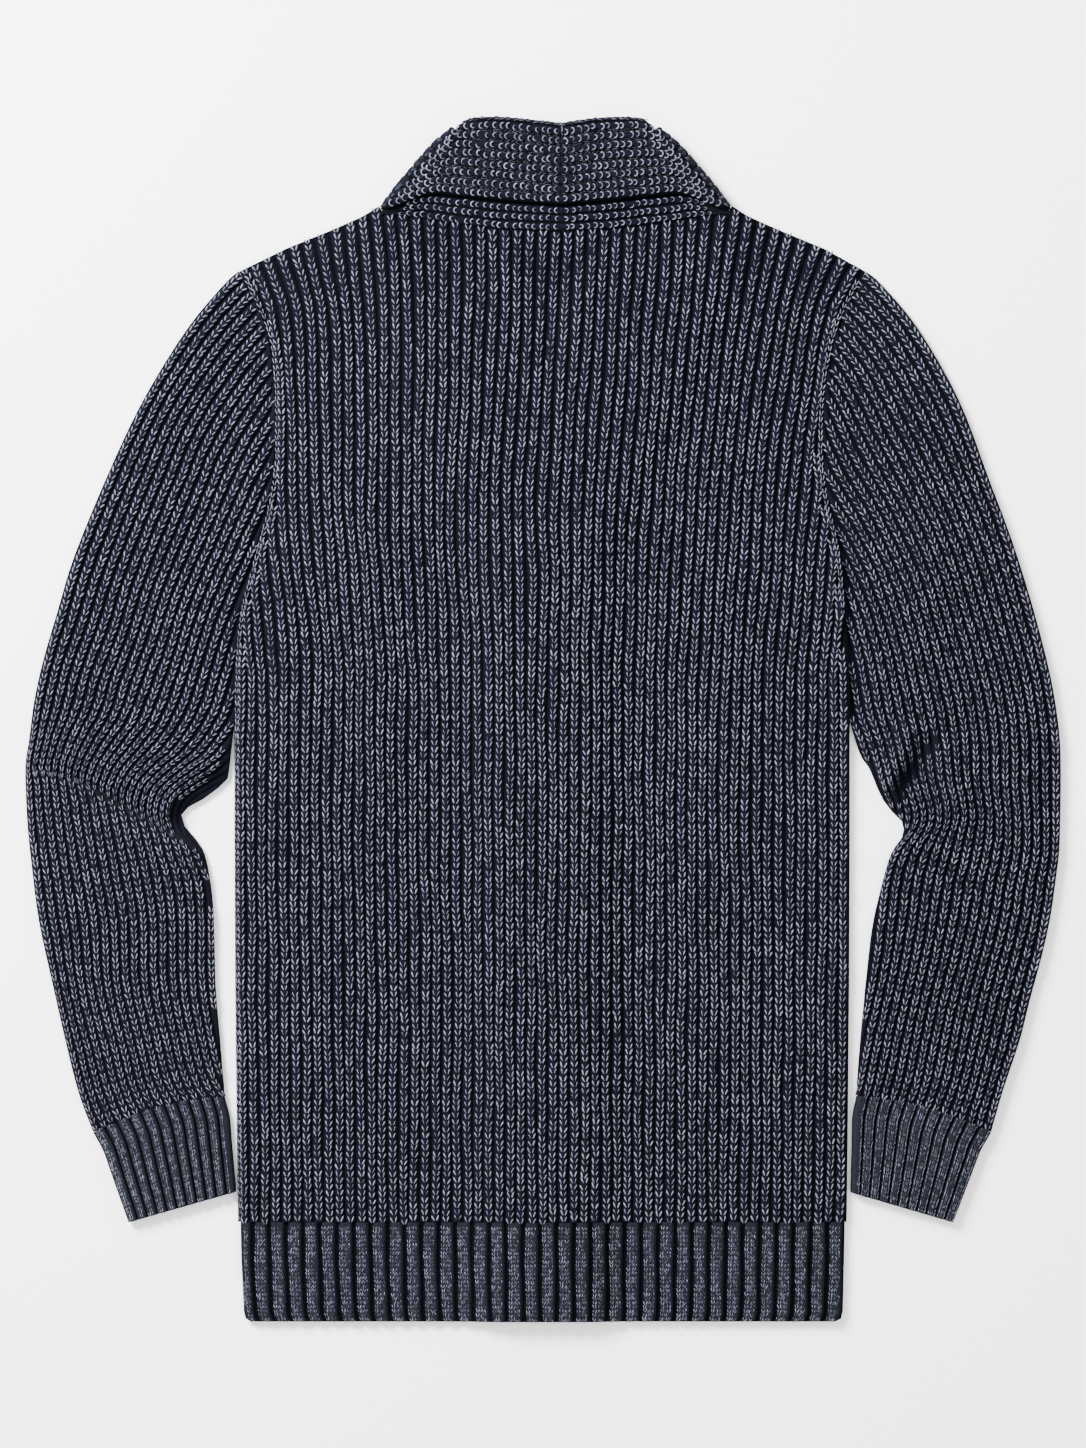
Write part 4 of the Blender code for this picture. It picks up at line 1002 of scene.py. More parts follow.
def rib_x(place, y):
    """Where a rib of the body runs at a height, with the small wander of hand-laid knit."""
    wander = sum(sway * np.sin(turn * place + y / length + start) for sway, turn, length, start in WANDER)
    out = (place - 0.5 * BODY_RIBS) * BODY_PITCH
    spread = np.interp(y, *np.array(SHOULDER_SPREAD).T) * np.sign(out)
    x = (middle(y) + out * np.interp(y, *np.array(FAN).T)
         + spread * np.minimum(np.abs(out) / OUTERMOST, SPREAD_MOST) ** SPREAD_CURVE)
    for spot_x, spot_y, reach, push in PUSHED:
        away = (x - spot_x) ** 2 + (PUSH_TALL * (y - spot_y)) ** 2
        wander = wander + push * np.exp(-away / reach ** 2)
    return x + wander


def panel_grid(places, low_y, top, left, right, rows):
    """x, y and rib relief over a panel: rows rise to its top line, ribs stop at its sides."""
    place, up = np.meshgrid(places, np.linspace(0.0, 1.0, rows))
    y = low_y + up * (SETTLE_TOP - low_y)
    for _round in range(SETTLE):
        x = np.clip(rib_x(place, y), left(y), right(y))
        y = low_y + up * (np.interp(x, top[:, 0], top[:, 1]) - low_y)
    beside = np.minimum(x - left(y), right(y) - x)
    return x, y, rib_relief(place) * np.clip(beside / SIDE_FADE, 0.0, 1.0)


def rounded_wall(distance):
    """Thickness of the wall this far in from a rounded edge."""
    inward = 1.0 - np.minimum(distance, ROUND) / ROUND
    return EDGE + (CLOTH - EDGE) * np.sqrt(1.0 - inward * inward)


def front_height(side, x, y):
    """Underside of a front."""
    beside = np.maximum(side * (x - middle(y)) - seam_out(y), 0.0) + np.maximum(y - COLLAR_END, 0.0)
    if side > 0:
        band = (LAYER + button_lift(y)) * cover(beside, flat=0.8, ramp=26.0)
    else:
        band = button_lift(y) * cover(beside, flat=0.8, ramp=22.0)
    return np.maximum(band, collar_lift(side, x, y, flat=1.5, ramp=14.0))


def rib_lines(places, low_y, high_y, outline, margin, height, below=False, wide=1.0, step=4.0,
              hug=None):
    """Lines of stitches up the ribs at these places, as far as they lie inside an outline.

    A rib that is about to run into a side follows it for a while: hug is how far in from
    the side it stays, and how far it may be moved for that.
    """
    lines = []
    for place in places:
        y = np.arange(low_y, high_y, step)
        x = rib_x(place, y)
        if hug:
            moved = np.clip(x, side_x(-1, y) + hug[0], side_x(1, y) - hug[0])
            x = np.where(np.abs(moved - x) < hug[1], moved, x)
        keep = within(x, y, outline) & (to_edge(x, y, outline) > margin)
        lines += [(*on_surface(x[run], y[run], height, below), wide) for run in kept_runs(keep)]
    return lines


def make_front(side):
    slant = GAP / math.cos(math.atan2(V_TOP[0] - V_END[0], V_TOP[1] - V_END[1]))
    edge, tips = body_edge(side), shoulder(side)

    def seam_x(y):
        return middle(y) + side * (seam_out(y) + slant)

    def edge_x(y):
        return side_x(side, y)

    def lowest(x, y):
        return front_height(side, x, y) + UNDER_CREST

    top = np.vstack((edge[-1:], tips, [(seam_x(V_TOP[1]), V_TOP[1])]))
    rows = int((V_TOP[1] - HEM_TOP) / BODY_ROW)
    x, y, relief = panel_grid(rib_columns(*FRONT_RIBS[side]), HEM_TOP, top[::-side],
                              *(edge_x, seam_x)[::-side], rows)
    wall = rounded_wall(to_line(x, y, edge[edge[:, 1] <= UNDERARM_Y]))
    shell = panel(f"front_cloth_{SIDE_NAME[side]}", x, y, front_height(side, x, y), wall,
                  relief, True, RIB_STEPS, f"front_{SIDE_NAME[side]}")
    seam_ys = np.linspace(HEM_TOP, V_TOP[1], SEAM_POINTS)
    outline = np.vstack((edge, tips, np.column_stack((seam_x(seam_ys), seam_ys))[::-1]))
    lines = rib_lines(np.arange(*FRONT_RIBS[side]) + 0.5, HEM_TOP + STITCHES_FROM, ABOVE_ALL, outline,
                      STITCHES_IN, lowest, True)
    return shell, lines, outline


for hand in (-1, 1):
    front, front_lines, front_outline = make_front(hand)
    front_stitches = knit_stitches(f"front_stitches_{SIDE_NAME[hand]}", front_lines,
                                   V_STITCH_PLAIN, ROW_PITCH, seed=31 + hand)

# ---------------------------------------------------------------- back
# One panel of half-cardigan rib, knitted up from the hem and shaped at the armholes,
# so that its ribs fan out a little towards the shoulders. It lies on both fronts.
BACK_FOLDS = (
    # x, y, end x, end y, half width, height
    (-118.0, 190.0, -112.0, -80.0, 16.0, 2.0),
    (-172.0, 120.0, -176.0, -60.0, 16.0, 1.8),
    (120.0, 160.0, 132.0, -120.0, 22.0, 1.3),
    (198.0, 110.0, 201.0, -6.0, 12.0, 2.2),
)
FOLD_END = 0.55            # height of a fold at its two ends, against its middle
FOLD_SHARP = 1.6           # how quickly it falls off to its sides
SIDE_CHAIN = 3.2           # width of the chain of stitches up each side edge
CHAIN_FROM = {-1: HEM_TOP + 2.5, 1: UNDERARM_Y}   # the right side is left without a chain below there, so that the dark ground paints its shade
CHAIN_TOP = 300.0
CHAIN_STEP = 4.0
CHAIN_STITCH = 0.66        # width of a stitch of it
TOP_CLEAR = 0.4            # how far in from its seams the stitches end
SIDE_RIB = 4.4             # nearest that a rib runs to a side edge
SIDE_MOVE = 3.8            # how far a rib is moved to keep clear of it
BODY_STITCH = 1.08
BACK_HIGH = 340.0          # height over which the rows of its mesh are counted
BACK_STEPS = (4, 6)
BACK_RIBS = {-1: (0, 28), 1: (28, BODY_RIBS)}   # ribs with stitches of the left and the right piece
START_AT = 1.2             # how far above the lower edge its stitches start,
START_UNEVEN = 1.5         # give or take this much from rib to rib
START_TURN = 2.9


def fold_height(x, y, folds):
    """How far the folds lift the cloth, or sink it where their height is below 0."""
    total = np.zeros(np.shape(x))
    for ax, ay, bx, by, half_width, height in folds:
        t, distance = to_stretch(x, y, (ax, ay), (bx, by))
        fade = FOLD_END + (1.0 - FOLD_END) * np.sin(math.pi * t)
        total += height * fade * np.exp(-FOLD_SHARP * (distance / half_width) ** 2)
    return total


def back_height(x, y):
    """Underside of the back, which lies on both fronts."""
    beside = np.maximum(np.abs(x - middle(y)) - seam_out(y), 0.0) + np.maximum(y - COLLAR_END, 0.0)
    lift = (LAYER + button_lift(y)) * cover(beside, flat=8.0, ramp=34.0)
    for side in (-1, 1):
        lift = np.maximum(lift, collar_lift(side, x, y, flat=11.0, ramp=24.0))
        neck = to_area(x, y, COLLAR_AREAS[side][2])
        lift = np.maximum(lift, LAYER * cover(neck, flat=3.0, ramp=26.0))
    return LAYER + lift + fold_height(x, y, BACK_FOLDS)


def back_top_line():
    """Upper edge of the back from left to right: shoulder, neck and shoulder."""
    neck = []
    for side in (-1, 1):
        out, y = smooth_curve(COLLAR_BACK, 3)[:, :2].T
        half_neck = np.column_stack((middle(y) + side * out, y - GAP))
        neck.append(half_neck[::-1] if side < 0 else half_neck[1:])
    return np.vstack((body_edge(-1)[-1:], shoulder(-1), *neck, shoulder(1)[::-1], body_edge(1)[-1:]))


BACK_TOP = back_top_line()
BACK_FREE = [body_edge(side)[body_edge(side)[:, 1] <= UNDERARM_Y] for side in (-1, 1)]
BACK_FREE += [BACK_TOP[:5], BACK_TOP[-5:]]


def back_wall(x, y):
    return rounded_wall(np.minimum.reduce([to_line(x, y, line) for line in BACK_FREE]))


def back_top(x, y):
    return back_height(x, y) + back_wall(x, y) + CREST


x, y, relief = panel_grid(rib_columns(-2, BODY_RIBS + 2), HEM_TOP, BACK_TOP, lambda y: side_x(-1, y),
                          lambda y: side_x(1, y), int((BACK_HIGH - HEM_TOP) / BODY_ROW))
back = panel("back_cloth", x, y, back_height(x, y), back_wall(x, y), relief, False,
             BACK_STEPS, "back")
ribbed = np.vstack((body_edge(-1)[:-1] + (SIDE_CHAIN, 0.0), BACK_TOP - (0.0, TOP_CLEAR),
                    body_edge(1)[::-1][1:] - (SIDE_CHAIN, 0.0)))
for side, ribs in BACK_RIBS.items():
    lines = []
    for rib in range(*ribs):
        start = HEM_TOP + START_AT + START_UNEVEN * math.sin(START_TURN * rib)
        lines += rib_lines([rib + 0.5], start, ABOVE_ALL, ribbed, TOP_CLEAR, back_top,
                           wide=BODY_STITCH, step=2.0, hug=(SIDE_RIB, SIDE_MOVE))
    chain_y = np.arange(CHAIN_FROM[side], CHAIN_TOP, CHAIN_STEP)
    chain = on_surface(side_x(side, chain_y) - side * 0.5 * SIDE_CHAIN, chain_y, back_top)
    lines.append((*chain, CHAIN_STITCH))
    knit_stitches(f"back_stitches_{SIDE_NAME[side]}", lines,
                                     V_STITCH, ROW_PITCH, seed=41 + ribs[0])

# ---------------------------------------------------------------- hem ribs
# A deep band of broad 2x2 rib is knitted on below the back and below each front. It is
# firmer than the body and draws it in a little.
HEM_RIBS = 36
BROAD_SHAPE = (
    # across the rib, height: a rib has two crests
    (0.0, 0.0),
    (0.1, 0.12),
    (0.19, 0.8),
    (0.35, 1.0),
    (0.5, 0.85),
    (0.65, 1.0),
    (0.81, 0.8),
    (0.9, 0.12),
)
BROAD_COLUMNS = (
    # across the rib, drop, lean and width of the column of stitches that runs there
    (0.22, 0.25, -0.55, 1.3),
    (0.41, 0.0, 0.0, 0.9),
    (0.58, 0.0, 0.0, 0.9),
    (0.75, 0.5, 0.8, 0.9),
)
HEM_STITCH = 0.62          # width of a stitch there, against the body's
HEM_ROW = 2.7
HEM_SWAY = (0.25, 2.3, 9.0)   # how far its ribs sway, turn from rib to rib, length up the rib
HEM_START = 0.3            # share of the first rib that is turned under at the left side
HEM_LOW = 7.0              # height over which its lower edge is rounded
HEM_ROWS = 8               # rows of its mesh above that,
HEM_LOW_ROWS = (4.5, 2.0, 0.8, 0.0)   # and in it
HEM_POINTS = 20            # up a line of its stitches
HEM_CLEAR = (1.8, 1.0, 1.4)   # how far from the lower, upper and side edges they stay
BROAD_STEPS = (3, 8)
WIDE = 300.0               # farther out than any side of the body
HEM_EDGE = {
    # x, y down either side edge, which draws in a little
    -1: ((-205.7, HEM_TOP - GAP), (-205.3, -365.0), (-203.5, HEM_BOTTOM + HEM_LOW),
         (-202.3, HEM_BOTTOM + 2.0), (-198.5, HEM_BOTTOM)),
    1: ((205.2, HEM_TOP - GAP), (204.8, -365.0), (203.9, HEM_BOTTOM + HEM_LOW),
        (202.7, HEM_BOTTOM + 2.0), (198.9, HEM_BOTTOM)),
}
HEM_OUTLINE = np.array(HEM_EDGE[-1] + HEM_EDGE[1][::-1])   # from seam to seam round the lower edge
RIB_YARN = knit_material("navy_rib_yarn", DEEP_NAVY, (0.190, 0.192, 0.252),
                         {"shade": 0.6, "tone": 0.3}, base=-0.04)
# The rib's ground is painted shade as well: far darker than its yarn, and darker down the grooves by its
# rise.
RIB_GROUND = knit_material("navy_rib", GROUND_NAVY, (0.0115, 0.0125, 0.0180), {"rise": 0.6},
                           base=-0.04, bump=0.9)


def leaning(points, facing, drop, lean):
    """A line of stitches let down and tipped over to one side."""
    tipped = facing + (lean, 0.0, 0.0)
    return points - (0.0, 0.0, drop), tipped / np.linalg.norm(tipped, axis=1)[:, None]


def hem_sides(y):
    """The left and the right side of the hem at a height."""
    return [np.interp(y, *np.array(HEM_EDGE[side][::-1]).T[::-1]) for side in (-1, 1)]


def hem_x(place, y):
    """Where a broad rib runs at a height of the hem."""
    left, right = hem_sides(y)
    sway, turn, length = HEM_SWAY
    along = (place - HEM_START) / (HEM_RIBS - HEM_START)
    return left + (right - left) * along + sway * np.sin(turn * place + y / length)


def make_hem(name, node, first_x, last_x, height, faces_down):
    """One hem rib between two x places; height is its underside."""
    place, y = np.meshgrid(rib_columns(-1, HEM_RIBS + 1, BROAD_SHAPE), np.concatenate((
        np.linspace(HEM_TOP - GAP, HEM_BOTTOM + HEM_LOW, HEM_ROWS),
        HEM_BOTTOM + np.array(HEM_LOW_ROWS))))
    left, right = hem_sides(y)
    left, right = np.maximum(left, first_x), np.minimum(right, last_x)
    x = np.clip(hem_x(place, y), left, right)
    beside = np.minimum(x - left, right - x)
    relief = rib_relief(place, BROAD_SHAPE) * np.clip(beside / SIDE_FADE, 0.0, 1.0)
    shell = panel(name, x, y, height(x, y), rounded_wall(to_line(x, y, HEM_OUTLINE)),
                  relief, faces_down, BROAD_STEPS, node, RIB_GROUND)

    def stitch_level(x, y):
        if faces_down:
            return height(x, y) + UNDER_CREST
        return height(x, y) + rounded_wall(to_line(x, y, HEM_OUTLINE)) + CREST

    lines = []
    over_low, under_top, inside = HEM_CLEAR
    y = np.linspace(HEM_BOTTOM + over_low, HEM_TOP - under_top, HEM_POINTS)
    for rib in range(HEM_RIBS):
        for at, drop, lean, wide in BROAD_COLUMNS:
            x = hem_x(rib + at, y)
            keep = within(x, y, HEM_OUTLINE) & (to_edge(x, y, HEM_OUTLINE) > inside)
            for run in kept_runs(keep & (x > first_x) & (x < last_x)):
                points, facing = on_surface(x[run], y[run], stitch_level, faces_down)
                if not faces_down:
                    points, facing = leaning(points, facing, drop, lean)
                lines.append((points, facing, HEM_STITCH * wide))
    return shell, lines


hem, hem_lines = make_hem("hem_cloth_back", "hem_back", -WIDE, WIDE, back_height, False)
hem_stitches = knit_stitches("hem_stitches_back", hem_lines, SLIM_STITCH, HEM_ROW,
                             seed=51, yarn=RIB_YARN)
for hand in (-1, 1):
    inner = BODY_MID + hand * (0.5 * BAND + GAP)
    name = SIDE_NAME[hand]
    hem, hem_lines = make_hem(f"hem_cloth_front_{name}", f"hem_front_{name}",
                              *sorted((inner, hand * WIDE)),
                              lambda x, y, side=hand: front_height(side, x, y), True)
    hem_stitches = knit_stitches(f"hem_stitches_front_{name}", hem_lines,
                                 V_STITCH_PLAIN, HEM_ROW, seed=53 + hand, yarn=RIB_YARN)

# ---------------------------------------------------------------- sleeves
# Each sleeve is a tube of the same rib, knitted up from the cuff, widened towards the
# underarm and set into the armhole. It lies flat, with a crease and a bulge at the elbow.
SLEEVE_STEPS = 4           # sections from one row of the tables to the next
SLEEVE_SPAN = 24           # ribs that the tables span
SLEEVE_REACH = 30          # ribs that the widest sections need
SAMPLES = 1500             # places tried across a section for where it ends
OUTSET = 0.02              # how far past its outline a section may reach,
END_OUTSET = 0.7           # and the last one at the cuff
FIRST_SAMPLES = 20         # a section with none of these inside has no width
ELBOW_CREASE = {-1: (12, 13), 1: ()}   # rows of a table that one crease lies between
SLEEVE_LEAVES_Y = {-1: -34.0, 1: -15.0}   # where each sleeve parts from the body's side
UNDERARM_CLEAR = 6.0       # how far below the underarm it starts to follow that side
BODY_CLEAR = -0.25         # below 0: the sleeve's fold lies just under the body's side
CUFF_BOW = 5.0             # how far the seam with the cuff bows up
CUFF_POINTS = 9
MIDDLE_Z = CLOTH + 0.5 * GAP
INNER_ROUND = 7.0          # the inner fold rolls over more softly than the outer one
ROLLED_ELBOW = {-1: (-228.0, -52.0, 42.0), 1: (238.0, -76.0, 6.0)}   # x, y, reach
ROLL_WIDE = 12.0           # how wide the rolled edge is at the elbow
ROLL_BARE = {-1: 9.5, 1: 0.0}   # how much of it is left without stitches, so that the dark ground paints its shade
DEEP_FOLD = {              # floor of the fold beside the elbow, where stitches shrink and are left off, so that the dark ground paints its shade
    1: ((240.0, -56.0), (245.0, -42.0), (255.0, -26.0), (268.0, -14.0)),
}
DEEP_HALF = 7.0            # half the width of that fold
DEEP_SHRINK = 0.5          # how much smaller stitches get there before they are gone,
DEEP_GONE = 0.8            # and from which share of its depth they are
CREASE_FROM = 8.0          # rib at which the elbow's crease begins
LINE_STEPS = 8             # places on a line of stitches from row to row of the tables
NARROWEST = 2.4            # ribs closer than this have no stitches of their own
SLEEVE_WIDTHS = (0.3, 1.05)   # least and most of a stitch's width, by its rib's
STITCH_WIDE = 1.03
TOP_IN = 1.3               # how far in from the outline the upper stitches stay,
LOW_IN = 1.6               # the lower ones,
LOW_CURL = 0.6             # and how far past the fold's rounding those begin
POCKET_IN = 0.3            # most of a section's width that its inner wall is set in
POCKET_HIGH = 9.0
POCKET_LEAST = 0.1
UNDER_BODY = {-1: (1.8, 9.0), 1: (2.2, 17.0)}   # depth and reach of the dip beside the body
BESIDE_BODY = (-60.0, 140.0)   # heights between which it runs

SLEEVE = {
    # outer fold, then the 8th, 16th and 24th rib in from it: x, y of each
    -1: (
        (-207.0, 305.0, -165.0, 261.0, -124.0, 217.0, -84.0, 173.0),
        (-217.0, 296.0, -173.0, 257.0, -129.0, 217.0, -84.0, 178.0),
        (-242.0, 266.0, -196.0, 232.0, -150.0, 196.0, -103.0, 162.0),
        (-270.0, 221.0, -222.7, 191.0, -169.0, 163.0, -118.0, 134.0),
        (-292.0, 176.0, -239.0, 153.0, -186.0, 131.0, -133.0, 108.0),
        (-318.2, 113.2, -263.8, 92.8, -212.2, 73.1, -154.4, 54.1),
        (-330.5, 73.1, -275.7, 56.1, -224.1, 38.4, -167.3, 20.1),
        (-340.0, 40.5, -287.0, 26.9, -232.6, 11.9, -176.1, -3.1),
        (-346.1, 13.3, -294.1, 5.1, -241.4, -5.8, -185.6, -16.7),
        (-349.5, -12.6, -304.6, -12.6, -253.0, -20.7, -197.2, -27.5),
        (-351.6, -25.5, -312.1, -26.9, -264.5, -30.9, -206.0, -35.7),
        (-352.2, -32.3, -314.8, -35.0, -276.1, -45.2, -242.8, -58.8),
        (-352.2, -38.4, -315.5, -41.8, -277.4, -62.9, -236.0, -86.0),
        (-352.2, -41.1, -304.6, -49.5, -250.9, -78.8, -198.6, -108.0),
        (-350.9, -69.7, -299.2, -75.1, -242.1, -96.9, -185.6, -115.9),
        (-348.2, -96.9, -294.4, -101.0, -237.3, -112.5, -180.2, -122.7),
        (-343.0, -137.0, -288.3, -136.3, -235.3, -136.3, -182.0, -139.7),
        (-333.0, -183.0, -286.3, -180.5, -234.6, -180.5, -183.0, -182.0),
        (-323.0, -227.0, -277.0, -220.0, -228.5, -217.0, -180.0, -217.0),
        (-315.0, -257.0, -270.0, -247.0, -221.7, -242.0, -172.0, -241.0),
        (-306.0, -280.5, -262.0, -264.0, -214.0, -256.0, -167.0, -257.0),
    ),
    1: (
        (220.0, 304.5, 178.0, 261.0, 137.0, 217.0, 97.0, 173.0),
        (230.0, 296.0, 186.0, 257.0, 142.0, 218.0, 99.0, 178.0),
        (255.0, 266.0, 207.0, 231.0, 161.0, 196.0, 115.0, 161.0),
        (282.9, 217.3, 229.0, 187.0, 177.0, 159.0, 125.0, 132.0),
        (303.6, 162.9, 251.5, 143.0, 199.5, 124.0, 147.0, 106.0),
        (318.9, 122.1, 267.6, 105.1, 216.7, 90.1, 164.6, 75.8),
        (331.8, 81.3, 279.5, 66.3, 228.8, 54.1, 176.8, 43.2),
        (342.7, 40.5, 289.5, 29.6, 236.0, 21.4, 182.9, 14.6),
        (348.2, 13.3, 294.4, 7.8, 239.4, 5.1, 185.0, 2.4),
        (351.6, -13.9, 297.2, -15.3, 244.8, -15.3, 195.2, -15.3),
        (352.2, -41.1, 298.0, -42.0, 249.8, -41.0, 204.0, -38.0),
        (351.9, -65.0, 301.0, -65.0, 256.0, -68.0, 217.0, -72.0),
        (351.2, -89.0, 298.5, -89.0, 242.5, -91.0, 189.0, -97.0),
        (348.8, -109.1, 293.8, -109.1, 236.6, -110.5, 178.0, -113.0),
        (344.8, -136.3, 289.3, -136.3, 233.5, -136.3, 177.5, -136.5),
        (338.6, -163.5, 282.9, -163.5, 230.0, -162.5, 176.0, -162.0),
        (331.2, -190.7, 276.5, -187.5, 225.5, -186.0, 173.0, -185.0),
        (324.4, -217.9, 270.5, -214.5, 219.5, -212.0, 167.0, -211.0),
        (313.0, -252.0, 264.5, -244.0, 214.0, -239.0, 164.0, -238.0),
        (304.8, -280.5, 258.0, -263.0, 211.0, -255.0, 165.0, -257.0),
    ),
}
FOREARM = {
    # inner silhouette, from where the sleeve parts from the body to the cuff: x, y
    -1: ((-214.2, -39.8), (-221.0, -46.6), (-229.8, -53.4), (-240.0, -58.6), (-246.0, -65.0),
         (-243.6, -72.8), (-238.0, -79.0), (-231.6, -88.0), (-227.8, -101.0), (-225.0, -120.0),
         (-223.7, -140.0), (-222.8, -180.0), (-219.6, -218.0), (-216.5, -256.0)),
    1: ((215.6, -24.8), (222.4, -34.0), (226.8, -45.5), (234.5, -60.0), (243.6, -68.0),
        (244.9, -79.0), (238.0, -88.7), (233.4, -101.0), (228.4, -121.0), (224.0, -140.0),
        (220.4, -170.0), (215.7, -218.0), (213.0, -255.5)),
}
SLEEVE_FOLDS = {
    # x, y, end x, end y, half width, height
    -1: (
        (-330.0, -18.0, -250.0, -58.0, 15.0, 4.6),
        (-296.0, -68.0, -232.0, -102.0, 12.0, 3.4),
        (-302.0, -51.0, -250.0, -85.0, 4.5, -1.3),
        (-199.0, 200.0, -204.0, 112.0, 9.0, 2.4),
        (-262.0, 150.0, -252.0, 40.0, 20.0, 1.8),
        (-218.0, -26.0, -246.0, -39.0, 9.0, 3.2),
        (-253.0, -46.0, -257.0, -68.0, 8.0, 3.0),
        (-251.0, -78.0, -240.0, -87.0, 6.0, 1.6),
    ),
    1: (
        (270.0, -24.0, 284.0, -62.0, 12.0, 5.2),
        (245.0, -78.0, 300.0, -104.0, 11.0, 3.6),
        (227.0, -24.0, 235.0, -46.0, 7.0, 3.0),
        (234.0, -42.0, 250.0, -4.0, 7.5, 6.0),
        (243.0, -50.0, 262.0, -19.0, 6.5, -2.6),
        (262.0, -19.0, 288.0, 0.0, 9.0, -2.2),
        (226.0, 40.0, 250.0, -4.0, 8.0, 1.8),
        (213.0, 36.0, 216.0, 2.0, 7.0, -1.2),
        (318.0, -20.0, 330.0, -70.0, 14.0, 2.8),
        (262.0, 150.0, 258.0, 50.0, 20.0, 1.8),
        (215.0, 255.0, 210.0, 150.0, 9.0, -1.2),
        (316.0, -34.0, 322.0, -52.0, 8.0, -1.6),
    ),
}


def shifted(line, amount):
    """The line moved sideways: to its left where the amount is above 0."""
    along = np.vstack((line[1:] - line[:-1], line[-1:] - line[-2:-1]))
    along[1:-1] += along[:-2]
    along /= np.linalg.norm(along, axis=1)[:, None]
    return line + amount * np.column_stack((-along[:, 1], along[:, 0]))


def sleeve_place(row, across):
    """Place on a section of the sleeve, this many ribs in from the outer fold."""
    s = np.asarray(across)[..., None] * 3.0 / SLEEVE_SPAN   # the four places are at 0, 1, 2, 3
    outer, first, second, inner = np.reshape(row, (4, 2))
    return (-outer * (s - 1) * (s - 2) * (s - 3) / 6 + first * s * (s - 2) * (s - 3) / 2
            - second * s * (s - 1) * (s - 3) / 2 + inner * s * (s - 1) * (s - 2) / 6)


def sleeve_outline(side):
    """Outer fold, inner fold and armhole of a sleeve, and its seam with the cuff."""
    table = smooth_curve(SLEEVE[side], SLEEVE_STEPS)
    edge = body_edge(side)
    opening = shifted(edge[edge[:, 1] >= UNDERARM_Y][::-1], side * GAP)
    beside = edge[(edge[:, 1] > SLEEVE_LEAVES_Y[side]) & (edge[:, 1] < UNDERARM_Y - UNDERARM_CLEAR)][::-1]
    forearm = smooth_curve(FOREARM[side], 3)
    inner_fold = np.vstack((opening[-1:], shifted(beside, side * BODY_CLEAR), forearm))
    outer_fold = np.vstack((opening[:1], table[1:, :2]))
    t = np.linspace(0.0, 1.0, CUFF_POINTS)[:, None]
    cuff_end = outer_fold[-1] + t * (inner_fold[-1] - outer_fold[-1])
    cuff_end[:, 1] += CUFF_BOW * np.sin(math.pi * t[:, 0])
    return table, outer_fold, inner_fold, opening, cuff_end


def flat_tube(outer, inner, inner_round=ROUND, rolled=lambda x, y: 0.0, raised=lambda x, y: 0.0):
    """Heights of a tube that lies flat between two folds: its curl, upper side and underside.

    The curl is 0 at a fold and 1 past its rounding. Rolled is how much the inner fold rolls
    under, and raised how far the cloth's own folds lift the upper side.
    """
    def curl(x, y):
        from_inner = to_line(x, y, inner)
        inward = 1.0 - np.minimum(np.minimum(to_line(x, y, outer), ROUND) / ROUND,
                                  np.minimum(from_inner, inner_round) / inner_round)
        plain = np.sqrt(1.0 - inward * inward)
        return plain + rolled(x, y) * (np.minimum(plain, ease(from_inner / ROLL_WIDE)) - plain)

    def top(x, y):
        return MIDDLE_Z + curl(x, y) * (LAYER + CLOTH - MIDDLE_Z + raised(x, y))

    def low(x, y):
        return MIDDLE_Z * (1.0 - curl(x, y))

    return curl, top, low


def round_tube(flat, top, low):
    """Sections of a flat tube: over the top from fold to fold, and back underneath."""
    upper, lower = (np.dstack((flat, np.broadcast_to(z, flat.shape[:2]))) for z in (top, low))
    return np.concatenate((upper, lower[:, -2:0:-1]), axis=1)


def tube_cloth(name, spots, relief, tube, pocket, steps, node, ground=GROUND):
    """A flat tube of two walls, ribbed outside, round the plain pocket between them."""
    curl, top, low = (height(spots[..., 0], spots[..., 1]) for height in tube)
    outer = round_tube(spots, top + curl * upper_ribs(relief),
                       np.minimum(low + curl * under_ribs(relief), MIDDLE_Z))
    rise = np.concatenate((relief, relief[:, -2:0:-1]), axis=1)
    return cloth_shell(name, outer, round_tube(*pocket), rise, steps, [node], closed=True,
                       ground=ground)


